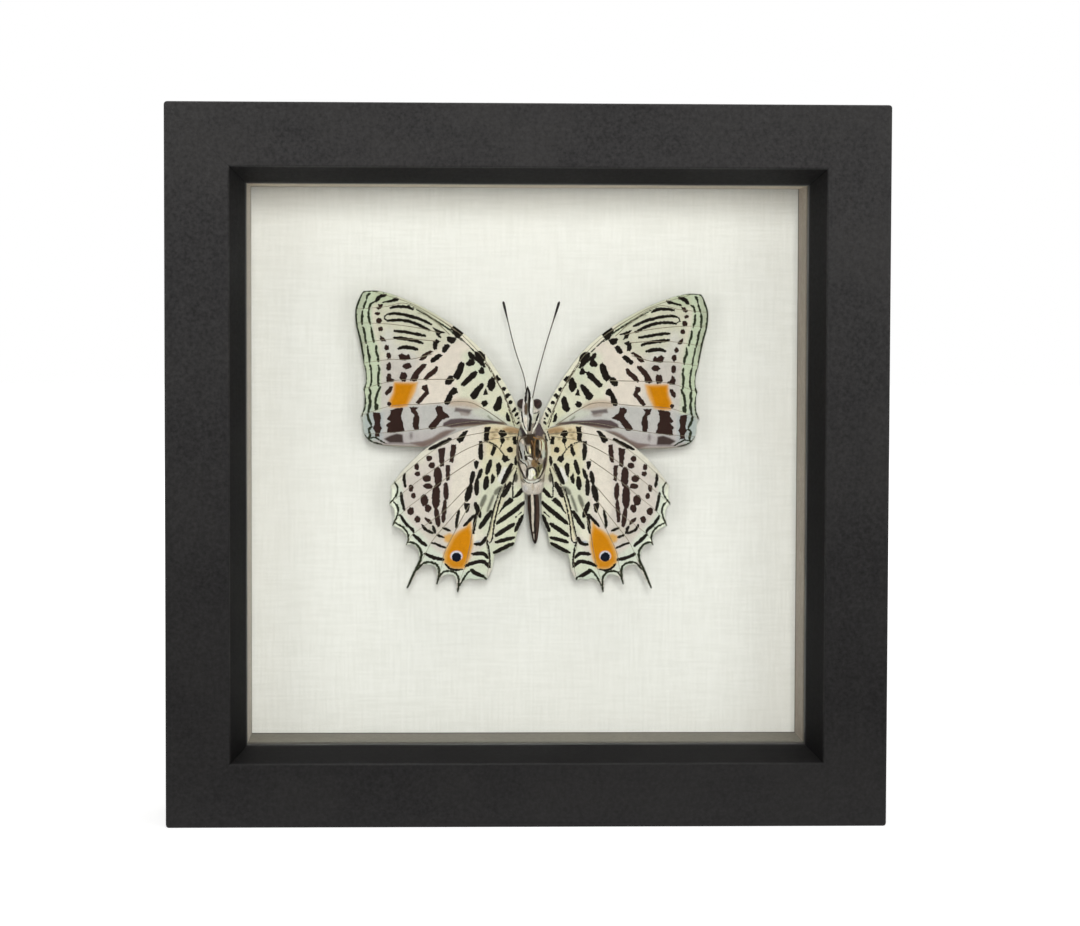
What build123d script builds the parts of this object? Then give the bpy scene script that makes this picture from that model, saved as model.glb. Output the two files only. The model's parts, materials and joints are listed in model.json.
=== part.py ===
from build123d import *
import math
import os

os.makedirs("parts", exist_ok=True)

# A square shadow box that shows one mounted butterfly, belly side to the glass.
# Millimetres. X runs to the right as seen from the front, Y into the case, Z up.
# The origin is the middle of the bottom rail's underside, at half the depth.

# ---------------------------------------------------------------- driving sizes
frame_width = 152.4
frame_height = 152.4

face_width = 13.3            # flat front face of each rail
bevel_run = 3.35             # sloped inner wall, measured across the rail
bevel_depth = 6.2            # the same wall, measured into the case
lip_land = 2.6               # straight edge of the lip that holds the glass
rabbet_width = 5.4           # step behind the lip
arris_radius = 0.45          # softened front edges
corner_round = 0.8           # worn outer corners
fit_clearance = 0.3          # glass, boards and strips inside the rabbet

glass_thickness = 2.0
spacer_depth = 15.0
paper_thickness = 0.3
board_thickness = 5.0
back_thickness = 2.7
back_recess = 0.2            # the back panel lies this far inside the rails

v_nail_leg = 4.2
v_nail_inset = 4.0           # from the outer edges to the fold of the nail
v_nail_gauge = 0.5
v_nail_depth = 8.0
v_nail_sink = 0.3

button_reach = 16.0          # pivot to the centre of the button's tip
button_boss_radius = 4.2
button_tip_radius = 2.6
button_thickness = 1.0
button_gap = 0.05            # above the rail and under the screw head
button_spacing = 76.0        # between the upper and lower button of a side rail
button_edge_round = 0.25
running_clearance = 0.08

screw_shank_radius = 1.5
screw_length = 12.0          # in the wood
screw_head_radius = 3.0
screw_head_height = 1.6
screw_head_round = 0.7
screw_slot_width = 0.7
screw_slot_length = 3.6
screw_slot_depth = 0.8
pilot_clearance = 0.02

hanger_length = 44.0
hanger_height = 9.0
hanger_gauge = 0.8
hanger_raise = 1.4
hanger_flat_end = 8.0
hanger_ramp = 2.0
hanger_corner_radius = 2.0
tooth_pitch = 2.5
tooth_depth = 1.5
nail_shank_radius = 0.6
nail_length = 9.0
nail_head_radius = 1.8
nail_head_height = 0.5

bumper_radius = 4.75
bumper_height = 2.0
bumper_flat_radius = 2.0

# The butterfly. Its own places are written as (out, up): out from the body axis and up
# from a level near the middle of the thorax.
specimen_offset = 1.3        # the body axis lies a little right of the middle
specimen_rise = 3.8          # and its level a little above the middle
wing_lift = 5.8              # from the paper to the front of the forewings
forewing_thickness = 0.25
hindwing_thickness = 0.25
wing_gap = 0.15              # between the overlapping wings
vein_width = 0.34
vein_height = 0.1

body_forward = 1.2           # the wings join the far side of the thorax

thorax_radius = 3.3
thorax_half_length = 6.9
thorax_up = -1.9
head_radius = 1.75
head_half_length = 2.7
head_place = (-0.7, 7.8)
eye_radius = 1.08
eye_spread = 1.78            # from the middle of the head to the middle of an eye
eye_up = 9.0
abdomen_base = (0.2, -7.6)
abdomen_tip = (0.75, -21.3)
abdomen_radius = 1.45
abdomen_tip_radius = 0.5
abdomen_rings = 7
ring_groove = 0.12
body_clearance = 0.12        # between touching parts of the body
antenna_radius = 0.17
club_radius = 0.29
club_length = 4.6
palp_radius = 0.36
palp_length = 6.4
palp_up = 6.3
palp_gap = 0.08
palp_lean = 5.2              # degrees towards each other
palp_out = -1.0
leg_radius = 0.32
riser_radius = 2.4

# ---------------------------------------------------------------- places worked out
frame_depth = (bevel_depth + lip_land + glass_thickness + spacer_depth + paper_thickness
               + board_thickness + back_thickness + back_recess)
front = -frame_depth / 2
back = frame_depth / 2
glass_front = front + bevel_depth + lip_land
spacer_front = glass_front + glass_thickness
paper_front = spacer_front + spacer_depth
board_front = paper_front + paper_thickness
back_front = board_front + board_thickness

rail_width = face_width + bevel_run
rail_wall = rail_width - rabbet_width          # full-depth wood outside the rabbet
rail_middle = rail_wall / 2                    # where screws and nails enter
middle_height = frame_height / 2
inner_width = frame_width - 2 * (rail_wall + fit_clearance)
inner_height = frame_height - 2 * (rail_wall + fit_clearance)
strip_thickness = rabbet_width - fit_clearance

specimen_x = specimen_offset
specimen_z = middle_height + specimen_rise
forewing_front = paper_front - wing_lift
hindwing_front = forewing_front - wing_gap - vein_height - hindwing_thickness
body_y = forewing_front - body_forward

cut_margin = 1.0


# ---------------------------------------------------------------- helpers
def front_view(y):
    """A drawing plane seen from the front: X to the right, Z up, facing the viewer."""
    return Plane(origin=(0, y, 0), x_dir=(1, 0, 0), z_dir=(0, -1, 0))


def plate(sketch, y_front, thickness):
    """A flat piece drawn in front view, with its front face at y_front."""
    return extrude(front_view(y_front + thickness) * sketch, thickness)


def pin(x, z, y_start, y_end, radius):
    """A round pin or hole along Y."""
    circle = Pos(x, z) * Circle(radius)
    return plate(circle, y_start, y_end - y_start)


def closed(points):
    return make_face(Polyline(*points, close=True))


def save(shape, node):
    shape.label = node
    export_step(shape, "parts/" + node + ".step")


# ---------------------------------------------------------------- rails
def rail_bar(length):
    """A straight rail along X with its outer edge on Z = 0, before the mitres."""
    section = closed([
        (front, 0),
        (front, face_width),
        (front + bevel_depth, rail_width),
        (glass_front, rail_width),
        (glass_front, rail_wall),
        (back, rail_wall),
        (back, 0),
    ])
    front_corners = section.vertices().group_by(Axis.X)[0]
    section = fillet(front_corners, arris_radius)
    return extrude(Plane.YZ * section, length / 2, both=True)


def mitred(bar, length):
    """The bar cut at 45 degrees at both ends, shortest at its inner edge."""
    low = length / 2 + cut_margin
    high = length / 2 - rail_width - cut_margin
    wedge = closed([(-low, -cut_margin), (low, -cut_margin),
                    (high, rail_width + cut_margin), (-high, rail_width + cut_margin)])
    return bar & plate(wedge, front - cut_margin, frame_depth + 2 * cut_margin)


rounded_outline = Pos(0, middle_height) * RectangleRounded(frame_width, frame_height, corner_round)
rounded_block = plate(rounded_outline, front - cut_margin, frame_depth + 2 * cut_margin)

rail_places = {
    "rail_bottom": (frame_width, Pos(0, 0, 0)),
    "rail_top": (frame_width, Pos(0, 0, frame_height) * Rot(0, 180, 0)),
    "rail_left": (frame_height, Pos(-frame_width / 2, 0, middle_height) * Rot(0, 90, 0)),
    "rail_right": (frame_height, Pos(frame_width / 2, 0, middle_height) * Rot(0, -90, 0)),
}
rails = {name: (place * mitred(rail_bar(length), length)) & rounded_block
         for name, (length, place) in rail_places.items()}


# ---------------------------------------------------------------- corner nails
def v_nail_section(side_x, side_z):
    """The folded strip across one mitre, with a leg in each rail, seen from the front."""
    x = side_x * (frame_width / 2 - v_nail_inset)
    z = middle_height + side_z * (middle_height - v_nail_inset)
    along = v_nail_leg
    gauge = v_nail_gauge
    legs = [(0, 0), (-along, 0), (-along, -gauge), (-gauge, -gauge), (-gauge, -along), (0, -along)]
    return closed([(x + side_x * out, z + side_z * up) for out, up in legs])


nail_corners = [(side_x, side_z) for side_x in (-1, 1) for side_z in (-1, 1)]
nail_front = back - v_nail_depth
corner_nails = [plate(v_nail_section(*corner), nail_front, v_nail_depth - v_nail_sink)
                for corner in nail_corners]
nail_slots = [plate(v_nail_section(*corner), nail_front, v_nail_depth + cut_margin)
              for corner in nail_corners]
for name in rails:
    rails[name] = rails[name] - nail_slots

# ---------------------------------------------------------------- glass, strips, boards
def filling(width, height):
    return Pos(0, middle_height) * Rectangle(width, height)


glass_pane = plate(filling(inner_width, inner_height), glass_front, glass_thickness)
mount_paper = plate(filling(inner_width, inner_height), paper_front, paper_thickness)
mount_board = plate(filling(inner_width, inner_height), board_front, board_thickness)
back_panel = plate(filling(inner_width, inner_height), back_front, back_thickness)


def strip(width, height, x, z):
    return plate(Pos(x, z) * Rectangle(width, height), spacer_front, spacer_depth)


strip_x = inner_width / 2 - strip_thickness / 2
strip_z = inner_height / 2 - strip_thickness / 2
side_strip_height = inner_height - 2 * strip_thickness
spacers = {
    "spacer_top": strip(inner_width, strip_thickness, 0, middle_height + strip_z),
    "spacer_bottom": strip(inner_width, strip_thickness, 0, middle_height - strip_z),
    "spacer_left": strip(strip_thickness, side_strip_height, -strip_x, middle_height),
    "spacer_right": strip(strip_thickness, side_strip_height, strip_x, middle_height),
}


# ---------------------------------------------------------------- turn buttons
def turn_button(x, z, inward):
    """A brass button turned over the back panel, inward being +1 or -1 along X."""
    outline = make_hull([
        (Pos(x, z) * Circle(button_boss_radius)).edge(),
        (Pos(x + inward * button_reach, z) * Circle(button_tip_radius)).edge(),
    ])
    button = plate(outline, back + button_gap, button_thickness)
    rim = button.faces().sort_by(Axis.Y)[-1].edges()
    button = fillet(rim, button_edge_round)
    hole_radius = screw_shank_radius + running_clearance
    return button - pin(x, z, back, back + 2 * button_thickness, hole_radius)


def button_screw(x, z):
    head_seat = back + button_gap + button_thickness + button_gap
    shank = pin(x, z, back - screw_length, head_seat, screw_shank_radius)
    head = pin(x, z, head_seat, head_seat + screw_head_height, screw_head_radius)
    head = fillet(head.edges().sort_by(Axis.Y)[-1], screw_head_round)
    slot_front = head_seat + screw_head_height - screw_slot_depth
    for width, height in ((screw_slot_length, screw_slot_width), (screw_slot_width, screw_slot_length)):
        slot = plate(Pos(x, z) * Rectangle(width, height), slot_front, 2 * screw_slot_depth)
        head = head - slot
    return shank + head


pivot_x = frame_width / 2 - rail_middle
button_places = {
    "turn_button_upper_left": (-pivot_x, middle_height + button_spacing / 2, 1),
    "turn_button_lower_left": (-pivot_x, middle_height - button_spacing / 2, 1),
    "turn_button_upper_right": (pivot_x, middle_height + button_spacing / 2, -1),
    "turn_button_lower_right": (pivot_x, middle_height - button_spacing / 2, -1),
}
turn_buttons = {name: turn_button(*place) for name, place in button_places.items()}
button_screws = [button_screw(x, z) for x, z, inward in button_places.values()]
pilot_radius = screw_shank_radius + pilot_clearance
for name, (x, z, inward) in button_places.items():
    rail_name = "rail_left" if x < 0 else "rail_right"
    rails[rail_name] = rails[rail_name] - pin(x, z, back - screw_length, back + cut_margin, pilot_radius)

# ---------------------------------------------------------------- hanger
hanger_z = frame_height - rail_middle
hanger_nail_x = hanger_length / 2 - hanger_flat_end / 2


def sawtooth_hanger():
    """A strip bent forward in the middle, with saw teeth along its lower edge."""
    half = hanger_length / 2
    bend = half - hanger_flat_end
    raised = bend - hanger_ramp
    inner = [(-half, 0), (-bend, 0), (-raised, hanger_raise),
             (raised, hanger_raise), (bend, 0), (half, 0)]
    outer = [(x, y + hanger_gauge) for x, y in reversed(inner)]
    bent = closed([(x, back + y) for x, y in inner + outer])
    bent_strip = extrude(Plane.XY.offset(hanger_z - hanger_height / 2) * bent, hanger_height)
    outline = Pos(0, hanger_z) * RectangleRounded(hanger_length, hanger_height, hanger_corner_radius)
    teeth = int(2 * raised / tooth_pitch) - 1
    lower_edge = hanger_z - hanger_height / 2
    for number in range(teeth):
        x = (number - (teeth - 1) / 2) * tooth_pitch
        outline = outline - closed([(x - tooth_pitch / 2, lower_edge - cut_margin),
                                    (x - tooth_pitch / 2, lower_edge),
                                    (x, lower_edge + tooth_depth),
                                    (x + tooth_pitch / 2, lower_edge),
                                    (x + tooth_pitch / 2, lower_edge - cut_margin)])
    body = bent_strip & plate(outline, back - cut_margin, hanger_raise + hanger_gauge + 2 * cut_margin)
    for side in (-1, 1):
        body = body - pin(side * hanger_nail_x, hanger_z, back - cut_margin,
                          back + 2 * hanger_gauge, nail_shank_radius + pilot_clearance)
    return body


def hanger_nail(x):
    head_seat = back + hanger_gauge
    shank = pin(x, hanger_z, back - nail_length, head_seat, nail_shank_radius)
    return shank + pin(x, hanger_z, head_seat, head_seat + nail_head_height, nail_head_radius)


hanger = sawtooth_hanger()
hanger_nails = [hanger_nail(side * hanger_nail_x) for side in (-1, 1)]
for side in (-1, 1):
    pilot = pin(side * hanger_nail_x, hanger_z, back - nail_length, back + cut_margin,
                nail_shank_radius + pilot_clearance)
    rails["rail_top"] = rails["rail_top"] - pilot


# ---------------------------------------------------------------- wall bumpers
def wall_bumper(x, z):
    """A soft dome that keeps the lower back edge off the wall."""
    profile = Curve() + [
        Line((0, 0), (bumper_radius, 0)),
        RadiusArc((bumper_radius, 0), (bumper_flat_radius, bumper_height), -bumper_radius),
        Line((bumper_flat_radius, bumper_height), (0, bumper_height)),
        Line((0, bumper_height), (0, 0)),
    ]
    dome = revolve(make_face(profile), Axis.Y)
    return Pos(x, back, z) * dome


bumper_x = frame_width / 2 - rail_middle
bumpers = [wall_bumper(side * bumper_x, rail_middle) for side in (-1, 1)]


# ---------------------------------------------------------------- butterfly body
def at(out, up, y):
    """A place on the butterfly."""
    return Pos(specimen_x + out, y, specimen_z + up)


def ellipsoid(radius, half_length):
    """Round across, longer along Z."""
    outline = EllipticalCenterArc((0, 0), radius, half_length, start_angle=-90, arc_size=180)
    half_section = make_face([outline, Line(outline @ 1, outline @ 0)])
    return revolve(Plane.XZ * half_section, Axis.Z)


def thorax_solid(extra=0):
    return at(0, thorax_up, body_y) * ellipsoid(thorax_radius + extra, thorax_half_length + extra)


def head_solid(extra=0):
    out, up = head_place
    return at(out, up, body_y) * ellipsoid(head_radius + extra, head_half_length + extra)


def abdomen_solid():
    """A tapering spindle with a shallow groove between its rings."""
    length = math.dist(abdomen_base, abdomen_tip)
    ring = length / abdomen_rings

    def girth(share):
        """The radius at a share of the length, full at the base and slim at the tip."""
        return abdomen_tip_radius + (abdomen_radius - abdomen_tip_radius) * (1 - share ** 3) ** 0.6

    def groove(number):
        """The foot of the groove before a ring."""
        return (girth(number / abdomen_rings) - ring_groove, -number * ring)

    def crest(number):
        return (girth((number + 0.5) / abdomen_rings), -(number + 0.5) * ring)

    edges = [Spline(groove(number), crest(number), groove(number + 1)) for number in range(abdomen_rings)]
    edges.append(Polyline(groove(abdomen_rings), (0, -length), (0, 0), groove(0)))
    spindle = revolve(Plane.XZ * make_face(edges), Axis.Z)
    drift = abdomen_tip[0] - abdomen_base[0]
    drop = abdomen_base[1] - abdomen_tip[1]
    tilt = math.degrees(math.atan2(drift, drop))
    return at(*abdomen_base, body_y) * Rot(0, -tilt, 0) * spindle


thorax = thorax_solid()
head = head_solid() - thorax_solid(body_clearance)
abdomen = abdomen_solid() - thorax_solid(body_clearance)


def eye(side):
    ball = at(head_place[0] + side * eye_spread, eye_up, body_y) * Sphere(eye_radius)
    return ball - head_solid(body_clearance)


def antenna(route):
    """A slender feeler on a bent route of (out, up) points, thicker along its club."""
    points = [Vector(specimen_x + out, body_y, specimen_z + up) for out, up in route]
    last_run = points[-1] - points[-2]
    club_start = points[-1] - last_run.normalized() * club_length
    runs = points[:-1] + [club_start]
    bends = [0.45 * min((b - a).length, (c - b).length) / math.tan(math.radians((b - a).get_angle(c - b)) / 2)
             for a, b, c in zip(runs, runs[1:], runs[2:])]
    path = FilletPolyline(*runs, radius=bends)
    first_run = (runs[1] - runs[0]).normalized()
    shaft = sweep(Plane(origin=runs[0], z_dir=first_run) * Circle(antenna_radius), path=path)
    club_plane = Plane(origin=club_start, z_dir=last_run.normalized())
    club = club_plane * Cone(antenna_radius, club_radius, club_length - club_radius,
                             align=(Align.CENTER, Align.CENTER, Align.MIN))
    cap = Plane(origin=points[-1] - last_run.normalized() * club_radius,
                z_dir=last_run.normalized()) * Sphere(club_radius)
    return (shaft + club + cap) - head_solid(body_clearance)


right_antenna_route = [(0.05, 9.4), (1.15, 15.0), (3.05, 22.0), (5.85, 31.1)]
left_antenna_route = [(-0.95, 9.6), (-1.85, 15.2), (-3.85, 21.2), (-6.3, 31.1)]


def palp(side):
    """One of the two feelers in front of the head, leaning to meet its twin."""
    spindle = Pos(0, 0, palp_length / 2) * ellipsoid(palp_radius, palp_length / 2)
    middle_out = palp_radius + palp_gap
    base_out = middle_out + palp_length / 2 * math.sin(math.radians(palp_lean))
    base_y = body_y - head_radius - palp_radius - body_clearance
    return at(palp_out + side * base_out, palp_up, base_y) * Rot(0, -side * palp_lean, 0) * spindle


def leg(route):
    """A folded leg that lies on the thorax."""
    lift = thorax_radius + leg_radius + body_clearance
    points = []
    for out, up in route:
        rest = 1 - (out / lift) ** 2 - ((up - thorax_up) / (thorax_half_length + leg_radius)) ** 2
        points.append(Vector(specimen_x + out, body_y - lift * math.sqrt(max(rest, 0)) - leg_radius, specimen_z + up))
    bends = [0.3 * min((b - a).length, (c - b).length) for a, b, c in zip(points, points[1:], points[2:])]
    path = FilletPolyline(*points, radius=bends)
    start = (points[1] - points[0]).normalized()
    return sweep(Plane(origin=points[0], z_dir=start) * Circle(leg_radius), path=path)


leg_routes = [
    [(0.9, 1.9), (2.3, 0.2), (1.5, -4.2)],
    [(-1.0, 1.7), (-2.4, -0.6), (-1.0, -5.6)],
    [(0.4, -1.2), (0.9, -3.2), (0.5, -5.9)],
]
legs = [leg(route) for route in leg_routes]


# ---------------------------------------------------------------- butterfly wings
# How each wing is set, as (stretch, lean, shift, rise): the left wings were spread by hand
# and don't mirror the right ones exactly.
forewing_set = {"right": (1.0, 0.0, 0.0, 0.0), "left": (1.017, -0.031, 0.2, 0.013)}
hindwing_set = {"right": (1.0, 0.0, 0.0, 0.0), "left": (1.045, -0.02, -0.95, 0.0)}


def set_out(spot, side, wing_set):
    """A wing point in front view, on the right or left side."""
    out, up = spot
    stretch, lean, shift, rise = wing_set[side]
    spread = stretch * out + lean * up + shift
    sign = 1 if side == "right" else -1
    return (specimen_x + sign * spread, specimen_z + up + rise * out)


# Each run goes on from the end of the one before it and is one smooth curve; runs meet
# at a corner, notch or tail tip. The last run closes the outline.
forewing_runs = [
    [(1.9, 5.6), (4.1, 10.0), (7.1, 15.0), (10.7, 19.9), (15.1, 24.0), (20.0, 27.3), (25.0, 29.95),
     (30.0, 31.9), (33.7, 32.8), (36.6, 32.7)],
    [(37.3, 31.5), (38.15, 28.8), (37.95, 25.5), (37.1, 22.2), (36.1, 17.3)],
    [(35.55, 15.0), (35.5, 13.0), (35.95, 11.6)],
    [(35.65, 10.2), (35.7, 7.6), (36.4, 5.7)],
    [(35.8, 4.4), (35.5, 2.0), (33.8, 0.1), (30.5, -0.55), (22.5, -0.8)],
    [(17.0, 1.2), (10.0, 2.4), (2.0, 1.0)],
    [(1.9, 5.6)],
]
hindwing_runs = [
    [(2.2, 3.2), (6.5, 4.3), (10.5, 4.45), (16.0, 3.0), (22.0, -0.2), (26.5, -4.4), (29.9, -8.8)],
    [(29.65, -10.4), (30.1, -12.8)],
    [(29.2, -13.7), (29.0, -15.6), (29.45, -17.5)],
    [(27.6, -18.2), (26.25, -19.9), (26.5, -21.7)],
    [(25.2, -21.45), (24.0, -22.5), (23.65, -24.3), (23.9, -25.3)],
    [(24.95, -27.5), (26.2, -30.9)],
    [(25.95, -31.1)],
    [(24.75, -28.9), (23.7, -26.9)],
    [(22.6, -26.0), (20.9, -26.0), (19.95, -27.0), (19.9, -28.6)],
    [(20.1, -30.1)],
    [(19.85, -30.2)],
    [(19.5, -29.2), (19.0, -28.6)],
    [(17.7, -28.0), (16.5, -28.2), (15.9, -29.2)],
    [(15.8, -30.5), (15.7, -31.85)],
    [(15.45, -31.95)],
    [(15.15, -30.8), (14.6, -29.6)],
    [(13.4, -28.95), (12.6, -28.95), (11.9, -29.2), (11.0, -29.0), (9.7, -29.3)],
    [(8.7, -27.2), (8.1, -23.7)],
    [(6.3, -22.9), (4.1, -21.7)],
    [(3.4, -18.6), (2.25, -15.4), (2.15, -10.0), (2.4, -5.0)],
    [(2.2, 3.2)],
]

# Veins from the root to the margin, as smooth curves.
forewing_veins = [
    [(3.4, 4.6), (5.6, 9.9), (9.4, 16.9), (13.6, 21.9), (18.5, 25.8), (25.0, 29.6)],
    [(16.6, 24.4), (21.5, 27.6), (27.0, 30.4), (34.2, 32.6)],
    [(18.0, 23.6), (22.5, 27.6), (27.5, 30.2), (32.0, 29.4), (38.1, 28.8)],
    [(20.2, 24.0), (25.0, 25.0), (31.0, 25.7), (38.0, 25.9)],
    [(21.0, 22.2), (26.0, 22.5), (31.0, 22.4), (36.9, 21.5)],
    [(21.6, 19.4), (26.0, 18.2), (31.0, 18.0), (36.2, 17.2)],
    [(16.6, 14.0), (22.0, 13.9), (29.0, 13.6), (35.9, 11.7)],
    [(5.2, 4.4), (10.8, 8.0), (14.5, 9.2), (22.0, 8.6), (30.0, 8.0), (36.3, 5.9)],
    [(4.0, 3.8), (12.0, 4.9), (20.0, 3.6), (27.0, 2.6), (35.4, 1.9)],
]
hindwing_veins = [
    [(3.6, 2.4), (10.0, 2.8), (17.5, 1.1), (22.5, -2.1), (26.3, -5.4), (29.6, -8.6)],
    [(10.2, 0.9), (15.0, -1.2), (21.0, -5.2), (26.0, -9.2), (30.0, -12.7)],
    [(12.6, -3.0), (18.0, -6.8), (23.5, -11.3), (27.0, -14.2), (29.4, -17.4)],
    [(14.0, -9.0), (18.5, -14.0), (22.5, -17.3), (25.3, -19.5), (26.5, -21.6)],
    [(14.2, -12.0), (18.0, -16.8), (20.9, -20.5), (22.4, -23.4), (23.6, -26.0)],
    [(13.6, -13.0), (16.4, -18.6), (18.4, -23.0), (19.1, -26.6), (19.5, -28.2)],
    [(10.6, -12.6), (12.5, -17.4), (13.3, -22.0), (14.2, -26.4), (15.2, -29.4)],
    [(4.4, -4.6), (6.8, -9.4), (8.3, -13.8), (9.1, -18.6), (9.9, -21.0), (9.2, -25.0), (9.6, -28.4)],
    [(4.0, 2.0), (10.0, 0.95), (7.6, -0.8), (6.2, -2.4)],
]


def wing(runs, veins, side, wing_set, y_front, thickness):
    """A thin wing with its veins raised on the side towards the glass."""
    edges = []
    start = set_out(runs[-1][-1], side, wing_set)
    for number, run in enumerate(runs):
        points = [set_out(spot, side, wing_set) for spot in run]
        if number > 0:
            points = [start] + points
        edges.append(Line(*points) if len(points) == 2 else Spline(*points))
        start = points[-1]
    membrane = make_face(edges)
    ridge_front = y_front - vein_height
    ridge_depth = vein_height + thickness / 2
    ridge_room = plate(membrane, ridge_front, ridge_depth)
    solid = plate(membrane, y_front, thickness)
    for vein in veins:
        line = Spline(*[set_out(spot, side, wing_set) for spot in vein])
        solid = solid + (plate(trace(line, vein_width), ridge_front, ridge_depth) & ridge_room)
    return solid - thorax_solid(body_clearance)


# ---------------------------------------------------------------- riser
riser_post = pin(specimen_x, specimen_z + thorax_up, body_y, paper_front, riser_radius)
riser = riser_post - thorax_solid(body_clearance)

# ---------------------------------------------------------------- all nodes
for name, rail in rails.items():
    save(rail, name)
save(Compound(corner_nails), "corner_v_nails")
save(glass_pane, "glass_pane")
for name, strip_piece in spacers.items():
    save(strip_piece, name)
save(mount_paper, "mount_paper")
save(mount_board, "mount_board")
save(back_panel, "back_panel")
for name, button in turn_buttons.items():
    save(button, name)
save(Compound(button_screws), "turn_button_screws")
save(hanger, "sawtooth_hanger")
save(Compound(hanger_nails), "hanger_nails")
save(Compound(bumpers), "wall_bumpers")
save(riser, "specimen_riser")
for side in ("left", "right"):
    save(wing(forewing_runs, forewing_veins, side, forewing_set, forewing_front, forewing_thickness),
         "forewing_" + side)
    save(wing(hindwing_runs, hindwing_veins, side, hindwing_set, hindwing_front, hindwing_thickness),
         "hindwing_" + side)
save(thorax, "thorax")
save(abdomen, "abdomen")
save(head, "head")
save(eye(-1), "eye_left")
save(eye(1), "eye_right")
save(antenna(left_antenna_route), "antenna_left")
save(antenna(right_antenna_route), "antenna_right")
save(palp(-1), "palp_left")
save(palp(1), "palp_right")
save(Compound(legs), "legs")
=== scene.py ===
# %% [markdown]
# # A framed butterfly in its display case
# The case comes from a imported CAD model, which is loaded first and never moved. Blender adds
# the finishes, the stage and the pieces that CAD can only rough out: the patterned wings, the
# hairy body and the feelers. Everything is in metres, in the frame of the CAD model.

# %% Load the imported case
import json
import math

import bpy
import numpy as np
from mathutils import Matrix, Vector, geometry

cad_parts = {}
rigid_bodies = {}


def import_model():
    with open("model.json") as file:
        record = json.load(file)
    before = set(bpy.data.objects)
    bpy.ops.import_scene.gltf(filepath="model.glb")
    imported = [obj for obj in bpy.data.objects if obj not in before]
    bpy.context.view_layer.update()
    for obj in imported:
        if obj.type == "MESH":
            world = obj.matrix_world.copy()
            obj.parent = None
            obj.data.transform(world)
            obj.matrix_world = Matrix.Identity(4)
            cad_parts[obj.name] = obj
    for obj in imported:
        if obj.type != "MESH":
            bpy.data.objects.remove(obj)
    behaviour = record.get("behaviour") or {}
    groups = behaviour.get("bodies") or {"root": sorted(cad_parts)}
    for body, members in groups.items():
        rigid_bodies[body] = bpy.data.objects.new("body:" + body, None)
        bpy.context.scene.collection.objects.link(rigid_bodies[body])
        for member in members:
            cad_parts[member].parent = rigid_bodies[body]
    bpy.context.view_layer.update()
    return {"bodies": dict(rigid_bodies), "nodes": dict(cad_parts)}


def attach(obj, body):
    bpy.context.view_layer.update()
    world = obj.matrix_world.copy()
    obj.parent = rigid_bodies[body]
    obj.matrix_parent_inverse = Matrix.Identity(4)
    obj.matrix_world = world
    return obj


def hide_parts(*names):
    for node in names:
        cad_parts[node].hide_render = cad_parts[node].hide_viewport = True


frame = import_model()
bodies, nodes = frame["bodies"], frame["nodes"]
print("bodies:", sorted(bodies))
print("nodes:", len(nodes))

# %% [markdown]
# ## Sizes that several steps need
# The CAD works in millimetres and Blender in metres, so sizes are written in millimetres and
# turned by one factor. The butterfly is drawn as (out, up): out from its own middle line and
# up from a level near the middle of the thorax.

# %% Shared sizes
MM = 0.001
frame_size = 152.4           # outside, both ways
rail_width = 16.65           # flat face and sloped wall together
face_width = 13.3
middle_up = frame_size / 2
specimen_x = 1.3             # the butterfly's own (out, up) = (0, 0) in the case
specimen_z = 80.0
forewing_y = 3.0             # the side of each wing towards the glass
hindwing_y = 2.5
body_y = 1.8
print("the case is", frame_size, "mm wide and the rails", rail_width, "mm")

# %% [markdown]
# ## A short way to write nodes
# Shader trees and geometry trees are built from the same few steps: make a node, set its
# options, then give each input a value or plug another node's output into it. The first helper
# does all three, and the others name the steps that come back in many materials, so that each
# tree below reads like a list of what it is made of.

# %% Node helpers
def node(tree, kind, inputs=None, **options):
    """A node with its options, and inputs given as values or as other nodes' outputs."""
    made = tree.nodes.new(kind)
    for name, value in options.items():
        setattr(made, name, value)
    for name, value in (inputs or {}).items():
        if isinstance(value, bpy.types.NodeSocket):
            tree.links.new(value, made.inputs[name])
        else:
            made.inputs[name].default_value = value
    return made


def reckon(tree, operation, first, second=0.0):
    """One Math node, as its output."""
    return node(tree, "ShaderNodeMath", {0: first, 1: second}, operation=operation).outputs[0]


def blend_colours(tree, share, first, second, way="MIX"):
    """One Mix node for colours, as its output; it keeps its colours in sockets 6 and 7."""
    inputs = {0: share, 6: first, 7: second}
    return node(tree, "ShaderNodeMix", inputs, data_type="RGBA", blend_type=way).outputs[2]


def tinted(tree, tone, factor):
    """A colour multiplied by a number or by another colour."""
    return blend_colours(tree, 1.0, tone, factor, "MULTIPLY")


def between(tree, value, low, high, new_low=0.0, new_high=1.0, smooth=True):
    """Maps a number from one span to another, held at its ends."""
    inputs = {0: value, 1: low, 2: high, 3: new_low, 4: new_high}
    way = "SMOOTHSTEP" if smooth else "LINEAR"
    return node(tree, "ShaderNodeMapRange", inputs, interpolation_type=way).outputs[0]


print("node helpers ready")


# %% Colours and patterns
def linear(red, green, blue):
    """A colour picked as 0 to 255 on screen, as Blender's linear RGBA."""
    parts = []
    for value in (red, green, blue):
        share = value / 255
        parts.append(share / 12.92 if share <= 0.04045 else ((share + 0.055) / 1.055) ** 2.4)
    return (*parts, 1.0)


def noise(tree, place, scale, detail=4.0, roughness=0.55):
    """A cloudy noise between 0 and 1; its scale is in blobs to the metre."""
    inputs = {"Vector": place, "Scale": scale, "Detail": detail, "Roughness": roughness}
    return node(tree, "ShaderNodeTexNoise", inputs).outputs["Fac"]


def stretched(tree, place, scale):
    """The same place, squeezed or drawn out along each axis."""
    return node(tree, "ShaderNodeMapping", {"Vector": place, "Scale": scale}).outputs[0]


def along_axis(tree, place, axis):
    """One coordinate of a place, "X", "Y" or "Z"."""
    return node(tree, "ShaderNodeSeparateXYZ", {0: place}).outputs[axis]


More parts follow.
